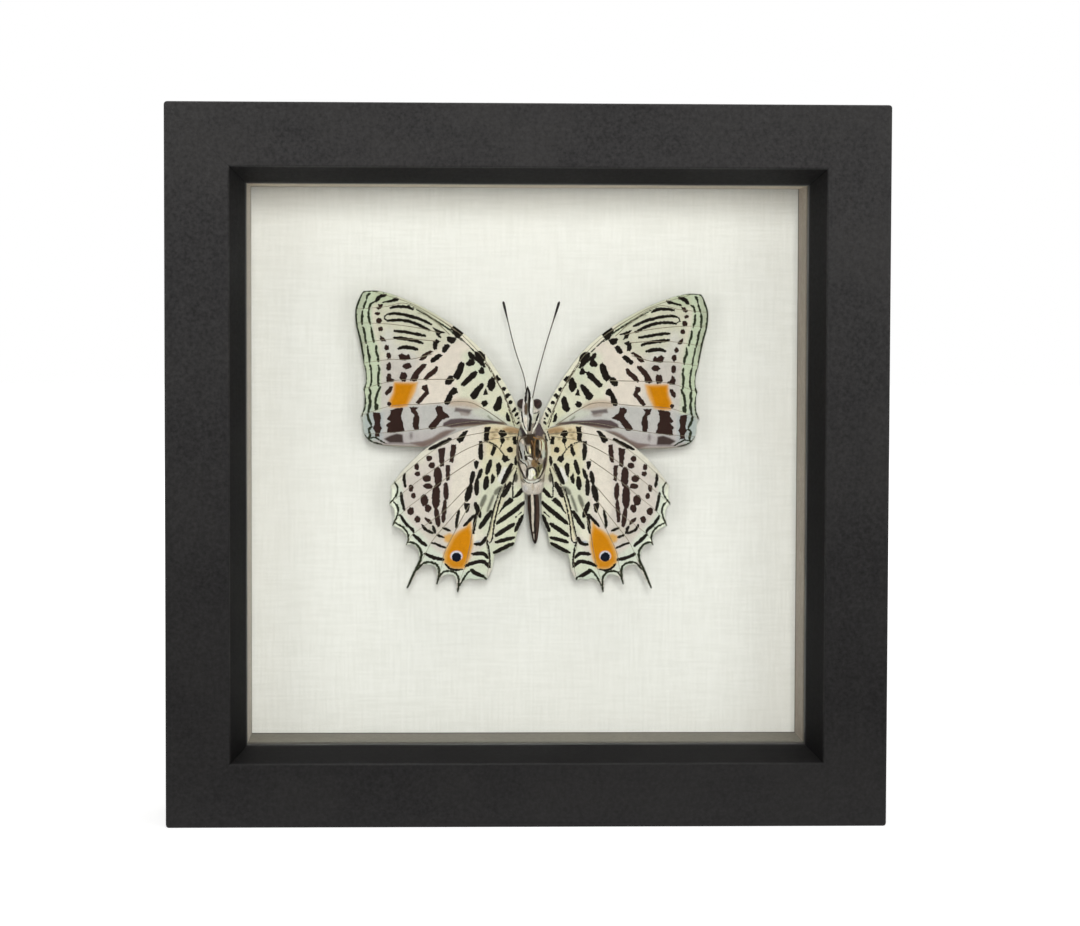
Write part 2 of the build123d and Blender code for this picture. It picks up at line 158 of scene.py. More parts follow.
def stored(tree, name, output="Color"):
    """A value kept at each vertex of the mesh."""
    return node(tree, "ShaderNodeAttribute", attribute_name=name).outputs[output]


def bumped(tree, height, distance, strength):
    """A normal that makes a smooth surface look raised where the height is large."""
    inputs = {"Height": height, "Distance": distance, "Strength": strength}
    return node(tree, "ShaderNodeBump", inputs).outputs[0]


print("mid grey on screen is", round(linear(128, 128, 128)[0], 3), "in linear light")


# %% Materials
def new_material(name):
    """An empty material with its tree and the object's own coordinates."""
    material = bpy.data.materials.new(name)
    material.use_nodes = True
    tree = material.node_tree
    tree.nodes.clear()
    place = node(tree, "ShaderNodeTexCoord").outputs["Object"]
    return material, tree, place


def finish_material(tree, shader):
    """Plugs a shader into the material's output."""
    node(tree, "ShaderNodeOutputMaterial", {"Surface": shader.outputs[0]})


def coat(tree, tone, roughness, normal=None, shine=0.5, metallic=0.0):
    """Ends a material in one Principled shader."""
    inputs = {"Base Color": tone, "Roughness": roughness, "Specular IOR Level": shine,
              "Metallic": metallic}
    if normal is not None:
        inputs["Normal"] = normal
    finish_material(tree, node(tree, "ShaderNodeBsdfPrincipled", inputs))


print("material helpers ready")

# %% [markdown]
# ## Camera, floor and light
# A case like this is shown nearly square on, from a little to the left and a little above its
# middle, with a long lens so that the rails stay almost parallel. The floor is pale and plain.
# Seen directly it is close to pure white, but it still takes a soft shadow, because a part of
# its brightness comes from the lamps. In front of the case the floor and the world are dark
# where the glass would mirror them, so that the pane stays clear.

# %% Camera
camera_data = bpy.data.cameras.new("camera")
camera_data.lens = 100.0
camera_data.sensor_width = 36.0
camera_data.clip_start = 0.05
camera_data.clip_end = 20.0
camera = bpy.data.objects.new("camera", camera_data)
camera.location = (-20.55 * MM, -646.3 * MM, 108.16 * MM)
camera.rotation_euler = [math.radians(turn) for turn in (87.175, -0.18, -2.08)]
bpy.context.scene.collection.objects.link(camera)
bpy.context.scene.camera = camera
print("camera at", [round(value, 3) for value in camera.location])


# %% Floor
def seen_rays(tree):
    """1 for what the camera sees, straight or through glass or in a shine; 0 for light."""
    path = node(tree, "ShaderNodeLightPath")
    straight = reckon(tree, "MAXIMUM", path.outputs["Is Camera Ray"], path.outputs["Is Glossy Ray"])
    return reckon(tree, "MAXIMUM", straight, path.outputs["Is Transmission Ray"])


floor_data = bpy.data.meshes.new("floor")
floor_half = 4.0
corners = [(across * floor_half, deep * floor_half, 0.0)
           for across, deep in ((-1, -1), (1, -1), (1, 1), (-1, 1))]
floor_data.from_pydata(corners, [], [(0, 1, 2, 3)])
floor = bpy.data.objects.new("floor", floor_data)
bpy.context.scene.collection.objects.link(floor)

floor_material, tree, place = new_material("pale_floor")
mottle = between(tree, noise(tree, place, 3.0), 0.3, 0.7, 0.78, 0.82)
away = node(tree, "ShaderNodeVectorMath", {0: place}, operation="LENGTH").outputs["Value"]
plain = node(tree, "ShaderNodeBsdfDiffuse", {"Color": mottle})
fade = between(tree, away, 0.15, 0.6, 0.76, 1.0)
dark_front = between(tree, along_axis(tree, place, "Y"), -0.1, -0.03, 0.02, 1.0)
straight = node(tree, "ShaderNodeLightPath").outputs["Is Camera Ray"]
plainly = reckon(tree, "MAXIMUM", dark_front, straight)
dim = node(tree, "ShaderNodeBsdfDiffuse", {"Color": reckon(tree, "MULTIPLY", 0.42, plainly)})
level = reckon(tree, "MULTIPLY", fade, plainly)
glow = node(tree, "ShaderNodeEmission", {"Color": (1, 1, 1, 1), "Strength": level})
shown = node(tree, "ShaderNodeAddShader", {0: dim.outputs[0], 1: glow.outputs[0]})
finish_material(tree, node(tree, "ShaderNodeMixShader",
                           {0: seen_rays(tree), 1: plain.outputs[0], 2: shown.outputs[0]}))
floor_data.materials.append(floor_material)
print("floor", 2 * floor_half, "m square")


# %% World and lamps
world = bpy.data.worlds.new("studio")
bpy.context.scene.world = world
world.use_nodes = True
tree = world.node_tree
tree.nodes.clear()
soft = node(tree, "ShaderNodeBackground", {"Color": (1.0, 0.995, 0.985, 1), "Strength": 0.18})
direction = node(tree, "ShaderNodeTexCoord").outputs["Generated"]
toward_back = between(tree, along_axis(tree, direction, "Y"), -0.7, 0.2, 0.02, 1.0)
path = node(tree, "ShaderNodeLightPath")
level = reckon(tree, "MAXIMUM", toward_back, path.outputs["Is Camera Ray"])
white = node(tree, "ShaderNodeBackground", {"Color": (1, 1, 1, 1), "Strength": level})
mixed = node(tree, "ShaderNodeMixShader", {0: seen_rays(tree), 1: soft.outputs[0], 2: white.outputs[0]})
node(tree, "ShaderNodeOutputWorld", {"Surface": mixed.outputs[0]})


def soft_lamp(name, place, width, height, watts, aim=(0, 0, middle_up * MM)):
    """An oblong lamp that faces the middle of the case, or another place."""
    data = bpy.data.lights.new(name, "AREA")
    data.shape = "RECTANGLE"
    data.size = width
    data.size_y = height
    data.energy = watts
    data.color = (1.0, 0.99, 0.975)
    lamp = bpy.data.objects.new(name, data)
    lamp.location = place
    lamp.rotation_euler = (Vector(aim) - Vector(place)).to_track_quat("-Z", "Y").to_euler()
    bpy.context.scene.collection.objects.link(lamp)
    return lamp


front_lamp = soft_lamp("lamp_front", (0.03, -1.7, 0.49), 0.28, 0.72, 17.4)
front_lamp.visible_glossy = False       # a lamp beside the camera would show in the glass
front_lamp.visible_transmission = False
soft_lamp("lamp_left", (-0.85, -1.3, 0.3), 0.5, 0.5, 3.0)
soft_lamp("lamp_right", (0.85, -1.3, 0.3), 0.5, 0.5, 3.4)
soft_lamp("lamp_top", (0.0, -0.35, 1.3), 0.9, 0.4, 6.3, (0, -0.35, 0))
soft_lamp("lamp_back", (0.3, 1.3, 0.9), 0.9, 0.9, 8.0)
bpy.context.scene.view_settings.view_transform = "Standard"

# %% [markdown]
# ## Charcoal paint on the rails
# The rails are wood under a satin charcoal paint. Paint on wood is never one even tone: it is
# finely stippled and the grain shows very faintly along each rail. Light is painted in as well:
# a thin painted highlight along the edge of the lip, painted shade on the sloped inner wall, and
# painted light that grows towards the top of the case. The grain comes from a noise drawn out
# along the rail, so the upright and the level rails have a material each.

# %% Rail paint
lip_edge = (frame_size / 2 - rail_width) * MM
face_edge = (frame_size / 2 - face_width) * MM
case_centre = (0.0, 0.0, middle_up * MM)


def from_centre(tree, place):
    """How far a spot lies from the case's middle, sideways and upwards."""
    shifted = node(tree, "ShaderNodeVectorMath", {0: place, 1: case_centre}, operation="SUBTRACT")
    return [reckon(tree, "ABSOLUTE", along_axis(tree, shifted.outputs[0], axis)) for axis in "XZ"]


def rail_paint(name, along_x):
    """Stippled charcoal with its grain along a level or an upright rail."""
    material, tree, place = new_material(name)
    long, across = (60.0, 1500.0) if along_x else (1500.0, 60.0)
    grain = noise(tree, stretched(tree, place, (long, 500.0, across)), 1.0, 5.0)
    cloud = noise(tree, place, 45.0, 3.0)
    peel = noise(tree, place, 2600.0, 2.0)
    stipple = between(tree, noise(tree, place, 1250.0, 3.0, 0.7), 0.3, 0.7, 0.62, 1.38, False)
    sideways, upwards = from_centre(tree, place)
    across_rail = upwards if along_x else sideways
    off_lip = reckon(tree, "ABSOLUTE", reckon(tree, "SUBTRACT", across_rail, lip_edge))
    # painted highlight: a thin lighter line along the edge of the lip
    lip_highlight = between(tree, off_lip, 0.0, 0.35 * MM, 1.0, 0.0)
    off_mitre = reckon(tree, "ABSOLUTE", reckon(tree, "SUBTRACT", sideways, upwards))
    joint = between(tree, off_mitre, 0.0, 0.22 * MM, 1.0, 0.0)
    on_face = between(tree, across_rail, face_edge - 0.5 * MM, face_edge)
    joint = reckon(tree, "MULTIPLY", joint, between(tree, on_face, 0.0, 1.0, 0.7, 0.15))
    dark = linear(36, 36, 37)
    light = linear(44, 43, 43)
    tone = blend_colours(tree, between(tree, grain, 0.3, 0.75, 0.35, 0.65), dark, light)
    tone = tinted(tree, tone, stipple)
    tone = blend_colours(tree, between(tree, cloud, 0.35, 0.7, 0.0, 0.3), tone, linear(52, 51, 50))
    # the painted highlight along the lip, blended in as a light grey
    tone = blend_colours(tree, reckon(tree, "MULTIPLY", lip_highlight, between(tree, grain, 0.2, 0.6)),
                         tone, linear(84, 84, 84))
    tone = blend_colours(tree, joint, tone, linear(16, 16, 17))
    # painted shade: the sloped inner wall is darkened to less than half the tone of the face
    tone = tinted(tree, tone, between(tree, on_face, 0.0, 1.0, 0.42, 1.0))
    # painted light: each rail is made lighter towards the top of the case and darker towards the bottom
    painted_light_by_height = between(tree, along_axis(tree, place, "Z"), 0.0, frame_size * MM, 0.62, 1.3)
    tone = tinted(tree, tone, painted_light_by_height)
    sheen = between(tree, cloud, 0.3, 0.7, 0.4, 0.5)
    relief = reckon(tree, "ADD", reckon(tree, "MULTIPLY", peel, 0.5), grain)
    shine = between(tree, on_face, 0.0, 1.0, 0.08, 0.16)
    coat(tree, tone, sheen, bumped(tree, relief, 0.03 * MM, 0.5), shine)
    return material


def dress(material, *names):
    """Gives carried-over CAD nodes their finish."""
    for name in names:
        nodes[name].data.materials.clear()
        nodes[name].data.materials.append(material)


dress(rail_paint("charcoal_paint_level", True), "rail_top", "rail_bottom")
dress(rail_paint("charcoal_paint_upright", False), "rail_left", "rail_right")
print("painted the four rails")

# %% [markdown]
# ## Glass
# The pane is a thin flat slab of clear glass. A path tracer only brings light through glass by
# chance, so light for the pieces behind it passes as if the pane were clear air: the Light Path
# node sends shadow and diffuse rays straight on, and the camera still sees real glass.

# %% Glass pane
material, tree, place = new_material("clear_pane")
smears = between(tree, noise(tree, place, 55.0, 4.0), 0.45, 0.75, 0.0, 0.015)
pane = node(tree, "ShaderNodeBsdfPrincipled", {
    "Base Color": (0.985, 0.995, 0.988, 1), "Roughness": smears, "IOR": 1.45,
    "Transmission Weight": 1.0, "Specular IOR Level": 0.5})
clear = node(tree, "ShaderNodeBsdfTransparent", {"Color": (0.97, 0.98, 0.975, 1)})
path = node(tree, "ShaderNodeLightPath")
light_ray = reckon(tree, "MAXIMUM", path.outputs["Is Shadow Ray"], path.outputs["Is Diffuse Ray"])
finish_material(tree, node(tree, "ShaderNodeMixShader",
                           {0: light_ray, 1: pane.outputs[0], 2: clear.outputs[0]}))
dress(material, "glass_pane")
print("glazed")

# %% [markdown]
# ## Backing paper and lining strips
# The backing is an off-white paper with a linen finish: fine threads both ways, pressed into
# the surface. Two noises, one drawn out upwards and one sideways, give the threads. The lining
# strips are plain matt board with a few specks, each darkened by a painted shade of its own,
# with painted shadow lines along its edges at the paper and at the glass.

# %% Linen paper
def linen(tree, place):
    """Threads both ways, as one height."""
    upright = noise(tree, stretched(tree, place, (2200.0, 200.0, 130.0)), 1.0, 3.0)
    level = noise(tree, stretched(tree, place, (130.0, 200.0, 2200.0)), 1.0, 3.0)
    return reckon(tree, "MULTIPLY", reckon(tree, "ADD", upright, level), 0.5)


material, tree, place = new_material("linen_paper")
threads = linen(tree, place)
cloud = noise(tree, place, 30.0, 3.0)
tone = blend_colours(tree, between(tree, threads, 0.35, 0.65),
                     linear(234, 233, 227), linear(242, 241, 236))
tone = blend_colours(tree, between(tree, cloud, 0.35, 0.7, 0.0, 0.3), tone, linear(238, 235, 228))
coat(tree, tone, 0.86, bumped(tree, threads, 0.03 * MM, 0.2), 0.25)
dress(material, "mount_paper")
print("papered the backing")


# %% Lining strips
glass_rear = -6.2           # the strips stand between the pane and the paper
paper_front = 8.8


def strip_board(name, shade):
    """Lining board darkened by a painted shade, with a painted shadow line at the paper and a fainter one at
    the glass.
    """
    material, tree, place = new_material(name)
    fibres = noise(tree, place, 900.0, 5.0)
    cloud = noise(tree, place, 120.0, 3.0)
    speck = between(tree, noise(tree, place, 1700.0, 1.0), 0.74, 0.78)
    tone = blend_colours(tree, between(tree, fibres, 0.3, 0.7),
                         linear(196, 186, 177), linear(212, 203, 193))
    tone = blend_colours(tree, between(tree, cloud, 0.4, 0.7, 0.0, 0.4), tone, linear(182, 174, 166))
    tone = blend_colours(tree, reckon(tree, "MULTIPLY", speck, 0.6), tone, linear(120, 105, 92))
    # painted shade: the board's colour times this strip's own shade factor
    tone = tinted(tree, tone, (*shade, 1))
    depth = along_axis(tree, place, "Y")
    # painted shadow: a dark line along the strip's edge at the paper, and a fainter one at the glass
    rear = between(tree, depth, (paper_front - 1.9) * MM, (paper_front - 1.1) * MM, 1.0, 0.5)
    front = between(tree, depth, (glass_rear + 0.6) * MM, (glass_rear + 1.2) * MM, 0.7, 1.0)
    tone = tinted(tree, tone, reckon(tree, "MULTIPLY", rear, front))
    coat(tree, tone, 0.8, bumped(tree, fibres, 0.04 * MM, 0.5), 0.3)
    return material


# Painted shade: the four strips are the same board, each darkened by its own factor; the bottom strip, which
# lies in the most light, is painted darkest.
dress(strip_board("lining_board", (1.0, 0.97, 0.88)), "spacer_top")
dress(strip_board("lining_board_left", (0.95, 0.96, 0.94)), "spacer_left")
dress(strip_board("lining_board_right", (0.68, 0.65, 0.61)), "spacer_right")
dress(strip_board("lining_board_low", (0.37, 0.38, 0.36)), "spacer_bottom")
print("lined the chamber")

# %% [markdown]
# ## Finishes on the back
# Behind, the case is plain: a hardboard panel with its fine brown fibres, brass turn buttons,
# zinc plated screws and hanger, and soft bumpers. Metals are told apart by colour, by how wide
# their shine is and by the direction of their brushing.

# %% Hardboard, foam board and foam
material, tree, place = new_material("hardboard")
fibres = noise(tree, place, 700.0, 6.0, 0.7)
flecks = noise(tree, stretched(tree, place, (900.0, 500.0, 260.0)), 1.0, 4.0)
tone = blend_colours(tree, between(tree, fibres, 0.3, 0.7), linear(122, 84, 52), linear(158, 116, 76))
tone = blend_colours(tree, between(tree, flecks, 0.55, 0.75, 0.0, 0.6), tone, linear(84, 56, 36))
coat(tree, tone, between(tree, fibres, 0.2, 0.8, 0.5, 0.68), bumped(tree, fibres, 0.05 * MM, 0.5))
dress(material, "back_panel")

material, tree, place = new_material("foam_board")
cells = node(tree, "ShaderNodeTexVoronoi", {"Vector": place, "Scale": 2600.0}).outputs["Distance"]
tone = blend_colours(tree, between(tree, cells, 0.1, 0.7), linear(224, 223, 216), linear(240, 239, 233))
coat(tree, tone, 0.9, bumped(tree, cells, 0.05 * MM, 0.6))
dress(material, "mount_board", "specimen_riser")
print("boards done")


# %% Metals and rubber
def metal(name, colour, tarnish, width, brush):
    """A brushed metal with darker tarnish in patches."""
    material, tree, place = new_material(name)
    lines = noise(tree, stretched(tree, place, brush), 1.0, 4.0)
    patches = noise(tree, place, 420.0, 4.0)
    tone = blend_colours(tree, between(tree, patches, 0.45, 0.75, 0.0, 0.6), colour, tarnish)
    roughness = between(tree, lines, 0.2, 0.8, width - 0.07, width + 0.09)
    coat(tree, tone, roughness, bumped(tree, lines, 0.01 * MM, 0.4), metallic=1.0)
    return material


brass = metal("brass", linear(214, 176, 104), linear(150, 112, 58), 0.3, (300.0, 900.0, 5200.0))
zinc = metal("zinc", linear(196, 198, 200), linear(150, 152, 156), 0.34, (260.0, 900.0, 4200.0))
steel = metal("dark_steel", linear(150, 150, 152), linear(96, 92, 90), 0.42, (3000.0, 300.0, 3000.0))
dress(brass, "turn_button_upper_left", "turn_button_lower_left",
      "turn_button_upper_right", "turn_button_lower_right")
dress(zinc, "turn_button_screws", "sawtooth_hanger")
dress(steel, "hanger_nails", "corner_v_nails")

material, tree, place = new_material("soft_bumper")
dust = noise(tree, place, 1500.0, 4.0)
tone = blend_colours(tree, between(tree, dust, 0.45, 0.75, 0.0, 0.5),
                     linear(52, 52, 54), linear(104, 102, 98))
coat(tree, tone, between(tree, dust, 0.3, 0.7, 0.55, 0.75), bumped(tree, dust, 0.02 * MM, 0.4))
dress(material, "wall_bumpers")
print("back finished")

# %% [markdown]
# ## Wing outlines
# A wing's edge is a chain of smooth curves that meet at corners: the notches between the
# scallops and the tips of the tails. Each run below goes on from the end of the one before it.
# A Catmull-Rom curve passes through every chosen point, so the points are simply places on the
# edge, in millimetres out from the body and up from its middle.

# %% Outline points
forewing_runs = [
    [(1.9, 5.6), (4.1, 10.0), (7.1, 15.0), (10.7, 19.9), (15.1, 24.0), (20.0, 27.3), (25.0, 29.95),
     (30.0, 31.9), (33.7, 32.8), (36.6, 32.7)],
    [(37.3, 31.5), (38.15, 28.8), (37.95, 25.5), (37.1, 22.2), (36.1, 17.3)],
    [(35.55, 15.0), (35.5, 13.0), (35.95, 11.6)],
    [(35.65, 10.2), (35.7, 7.6), (36.4, 5.7)],
    [(35.8, 4.4), (35.5, 2.0), (33.8, 0.1), (30.5, -0.55), (22.5, -0.8)],
    [(17.0, 1.2), (10.0, 2.4), (2.0, 1.0)],
    [(1.9, 5.6)],
]
hindwing_runs = [
    [(2.2, 3.2), (6.5, 4.3), (10.5, 4.45), (16.0, 3.0), (22.0, -0.2), (26.5, -4.4), (29.9, -8.8)],
    [(29.65, -10.4), (30.1, -12.8)],
    [(29.2, -13.7), (29.0, -15.6), (29.45, -17.5)],
    [(27.6, -18.2), (26.25, -19.9), (26.5, -21.7)],
    [(25.2, -21.45), (24.0, -22.5), (23.65, -24.3), (23.9, -25.3)],
    [(24.95, -27.5), (26.2, -30.9)],
    [(25.95, -31.1)],
    [(24.75, -28.9), (23.7, -26.9)],
    [(22.6, -26.0), (20.9, -26.0), (19.95, -27.0), (19.9, -28.6)],
    [(20.1, -30.1)],
    [(19.85, -30.2)],
    [(19.5, -29.2), (19.0, -28.6)],
    [(17.7, -28.0), (16.5, -28.2), (15.9, -29.2)],
    [(15.8, -30.5), (15.7, -31.85)],
    [(15.45, -31.95)],
    [(15.15, -30.8), (14.6, -29.6)],
    [(13.4, -28.95), (12.6, -28.95), (11.9, -29.2), (11.0, -29.0), (9.7, -29.3)],
    [(8.7, -27.2), (8.1, -23.7)],
    [(6.3, -22.9), (4.1, -21.7)],
    [(3.4, -18.6), (2.25, -15.4), (2.15, -10.0), (2.4, -5.0)],
    [(2.2, 3.2)],
]
print("runs:", len(forewing_runs), "and", len(hindwing_runs))


# %% Smooth edges
def smooth_line(points, step=0.14):
    """Points about one step apart on a smooth curve through the chosen ones."""
    places = [np.array(point, float) for point in points]
    if len(places) < 3:
        places = [places[0], places[-1]]
    ends = [2 * places[0] - places[1]] + places + [2 * places[-1] - places[-2]]
    line = []
    for before, start, stop, after in zip(ends, ends[1:], ends[2:], ends[3:]):
        count = max(1, round(float(np.linalg.norm(stop - start)) / step))
        for number in range(count):
            t = number / count
            line.append(0.5 * (2 * start + (stop - before) * t
                               + (2 * before - 5 * start + 4 * stop - after) * t ** 2
                               + (3 * start - before - 3 * stop + after) * t ** 3))
    return np.array(line + [places[-1]])


def smooth_outline(runs):
    """The closed edge, as points."""
    edge, start = [], []
    for run in runs:
        edge.append(smooth_line(start + run)[:-1])
        start = run[-1:]
    return np.concatenate(edge)


forewing_edge = smooth_outline(forewing_runs)
hindwing_edge = smooth_outline(hindwing_runs)
print("edge points:", len(forewing_edge), len(hindwing_edge))

# %% [markdown]
# ## Drawing on a wing
# A butterfly's pattern is made of thousands of coloured scales. Drawing it as geometry would
# need a patch for each mark, and an image would tie it to one size, so each mark is kept as a
# shape and every vertex of the fine wing mesh stores how far it lies from the nearest mark. The
# shader then cuts at zero, with a little noise, which leaves the ragged edge that scales have.

# %% Distances to lines
def line_distance(places, line):
    """How far each place is from a line, and where along the line it is nearest, 0 to 1."""
    nearest = np.full(len(places), 1e9)
    along = np.zeros(len(places))
    for number in range(len(line) - 1):
        start, run = line[number], line[number + 1] - line[number]
        share = np.clip((places - start) @ run / max(run @ run, 1e-12), 0, 1)
        away = np.hypot(*(places - start - share[:, None] * run).T)
        closer = away < nearest
        nearest[closer] = away[closer]
        along[closer] = (number + share[closer]) / (len(line) - 1)
    return nearest, along


def inside(places, outline):
    """Whether each place is inside a closed outline."""
    odd = np.zeros(len(places), bool)
    x, y = places.T
    for (x1, y1), (x2, y2) in zip(outline, np.roll(outline, -1, axis=0)):
        if y1 != y2:
            crosses = (y1 > y) != (y2 > y)
            odd ^= crosses & (x < (x2 - x1) * (y - y1) / (y2 - y1) + x1)
    return odd


level_line = np.array([[-1.0, 0.0], [1.0, 0.0]])
print("2 above a level line:", line_distance(np.array([[0.0, 2.0]]), level_line)[0][0])

# %% Distances to patches, strokes and spots
patch_round = 0.1            # a patch is drawn a little larger, which rounds its corners
stroke_swell, stroke_taper = 1.35, 0.45     # of its written width, in the middle and at the ends


def patch_edge(places, points):
    """Distance to a patch's edge, negative inside."""
    outline = np.array(points, float)
    away = line_distance(places, np.vstack([outline, outline[:1]]))[0]
    return np.where(inside(places, outline), -away, away) - patch_round


def stroke_edge(places, width, points):
    """Distance to the edge of a stroke that thins a little towards its ends."""
    away, along = line_distance(places, smooth_line(points, 0.4))
    return away - width / 2 * (stroke_swell - stroke_taper * np.abs(2 * along - 1) ** 4)


def spot_edge(places, out, up, half_width, half_height):
    """Distance to the edge of an upright oval, near enough."""
    offset = (places - (out, up)) / (half_width, half_height)
    return (np.hypot(*offset.T) - 1) * min(half_width, half_height)


def mark_edge(places, mark):
    """A mark is (width, points), (out, up, half width, half height) or a list of corners."""
    if isinstance(mark, list):
        return patch_edge(places, mark)
    if len(mark) == 2:
        return stroke_edge(places, *mark)
    return spot_edge(places, *mark)


print("3 from the middle of a spot of radius 1:", mark_edge(np.array([[3.0, 0.0]]), (0, 0, 1, 1))[0])

# %% Paint marks and washes
ink_reach = 1.5              # no mark is looked for farther away than this


def mark_box(mark):
    """The lowest and highest (out, up) that a mark can reach."""
    if isinstance(mark, list):
        points, room = np.array(mark), patch_round
    elif len(mark) == 2:
        points, room = np.array(mark[1]), mark[0]
    else:
        points, room = np.array([mark[:2]]), max(mark[2:])
    return points.min(0) - room, points.max(0) + room


def within(places, mark, reach):
    """Which places lie near enough to a mark to be worth measuring."""
    low, high = mark_box(mark)
    return np.flatnonzero(((places > low - reach) & (places < high + reach)).all(1))


def paint_marks(places, layers):
    """The signed distance to the nearest mark at each place, and that mark's colour."""
    edge = np.full(len(places), ink_reach)
    colour = np.tile(np.array(layers[0][0]), (len(places), 1))
    for ink, marks in layers:
        for mark in marks:
            near = within(places, mark, ink_reach)
            away = mark_edge(places[near], mark)
            closer = away < edge[near]
            edge[near[closer]] = away[closer]
            colour[near[closer]] = ink
    return edge, colour


def paint_washes(places, washes):
    """Soft areas of colour, painted one over the other; one without marks covers all."""
    colour = np.zeros((len(places), 4))
    for tint, softness, strength, marks in washes:
        cover = np.zeros(len(places))
        for mark in marks:
            near = within(places, mark, softness)
            share = np.clip(0.5 - mark_edge(places[near], mark) / (2 * softness), 0, 1)
            cover[near] = np.maximum(cover[near], share * share * (3 - 2 * share))
        cover = strength * cover if marks else np.ones(len(places))
        colour = colour * (1 - cover[:, None]) + np.array(tint) * cover[:, None]
    return colour


def paint(places, washes, marks):
    """Everything that a scaled material reads at each place."""
    edge, ink = paint_marks(places, marks)
    return {"ground": paint_washes(places, washes), "ink": ink, "edge": edge}


print("drawing tools ready")

# %% [markdown]
# ## The forewing's pattern
# Seen from below, the forewing has a cream cell with chunky dark bars, a pinkish band, an outer
# field of fine parallel stripes, one orange patch, a lilac-grey lower edge and a green border
# between three wavy lines. The washes are painted first, softly, and the marks over them.

# %% Forewing washes
ink_black = linear(27, 22, 17)
ink_umber = linear(50, 33, 28)
ink_plum = linear(66, 48, 48)
ink_olive = linear(42, 46, 32)
forewing_washes = [
    (linear(221, 210, 197), 1.0, 1.0, []),
    (linear(214, 212, 190), 1.2, 1.0, [[(1.5, 1.5), (4.0, 10.5), (11.0, 20.5), (13.4, 20.4),
                                        (16.6, 15.0), (15.5, 10.0), (10.0, 7.4), (5.0, 4.2)]]),
    (linear(204, 209, 186), 1.3, 0.8, [(2.0, [(10.4, 14.6), (12.6, 17.6), (14.0, 19.0)])]),
    (linear(212, 211, 178), 1.0, 0.7, [(1.6, [(3.6, 4.4), (7.0, 8.4)])]),
    (linear(228, 224, 203), 0.25, 0.9, [(1.0, [(2.8, 7.0), (6.7, 14.0), (9.9, 18.2), (13.4, 22.0),
                                              (16.5, 24.7)])]),
    (linear(198, 191, 183), 1.6, 1.0, [[(24.4, 7.4), (24.6, 19.0), (29.5, 19.5), (33.0, 17.5),
                                        (33.0, 7.4)]]),
    (linear(204, 201, 180), 1.5, 1.0, [[(16.4, 22.6), (22.6, 19.6), (33.0, 18.6), (35.0, 33.0),
                                        (24.0, 29.6)]]),
    (linear(206, 202, 195), 1.2, 0.8, [(2.4, [(26.4, 19.0), (30.5, 20.4), (31.0, 23.6)])]),
    (linear(206, 207, 182), 0.8, 0.9, [(1.7, [(17.5, 24.2), (22.6, 28.0), (28.4, 30.8)])]),
    (linear(187, 184, 180), 0.45, 1.0, [[(4.0, 3.6), (9.6, 7.2), (14.5, 9.0), (22.0, 8.4),
                                         (30.0, 7.8), (36.6, 5.9), (36.2, -1.0), (20.0, -1.5),
                                         (4.0, 1.0)]]),
    (linear(186, 166, 146), 0.7, 0.8, [(1.4, [(11.6, 8.3), (14.4, 9.0), (17.2, 8.8)])]),
    (linear(196, 198, 182), 0.8, 0.8, [(1.2, [(5.4, 4.9), (9.0, 6.3), (12.0, 7.0)])]),
    (linear(178, 171, 169), 0.9, 0.9, [(2.2, [(17.5, 1.9), (21.0, 1.2), (28.0, 0.8), (35.0, 0.8)])]),
    (linear(150, 140, 132), 0.5, 0.8, [(0.7, [(17.5, 0.6), (23.0, -0.5), (31.0, -0.5), (35.0, 0.7)])]),
    (linear(185, 193, 162), 1.2, 0.9, [(3.0, [(31.0, 31.6), (34.0, 32.0), (36.6, 31.0)])]),
    (linear(192, 201, 174), 0.5, 1.0, [[(34.2, 33.4), (34.9, 29.4), (34.5, 25.0), (33.0, 20.0),
                                        (32.4, 15.0), (32.3, 7.0), (39.0, 6.0), (39.0, 33.4)]]),
    (linear(176, 182, 158), 0.3, 0.9, [[(36.0, 33.0), (36.8, 29.0), (36.7, 25.4), (35.8, 21.0),
                                        (36.2, 16.5), (39.0, 15.4), (39.0, 33.4)]]),
    (linear(176, 184, 172), 0.6, 0.9, [(1.6, [(34.6, 7.4), (34.8, 4.0), (34.0, 0.9)])]),
    (linear(216, 160, 84), 0.45, 1.0, [[(24.6, 13.1), (29.4, 13.1), (29.6, 11.0), (30.3, 9.2), (30.0, 7.8),
                                        (28.2, 7.7), (26.6, 8.1), (25.6, 9.9), (25.0, 11.3)]]),
    (linear(198, 124, 2), 0.5, 1.0, [[(25.4, 12.7), (29.2, 12.8), (29.3, 10.6), (29.9, 9.2), (29.8, 8.1),
                                      (28.2, 8.0), (26.8, 8.5), (26.2, 10.4)]]),
]
print("forewing washes:", len(forewing_washes))

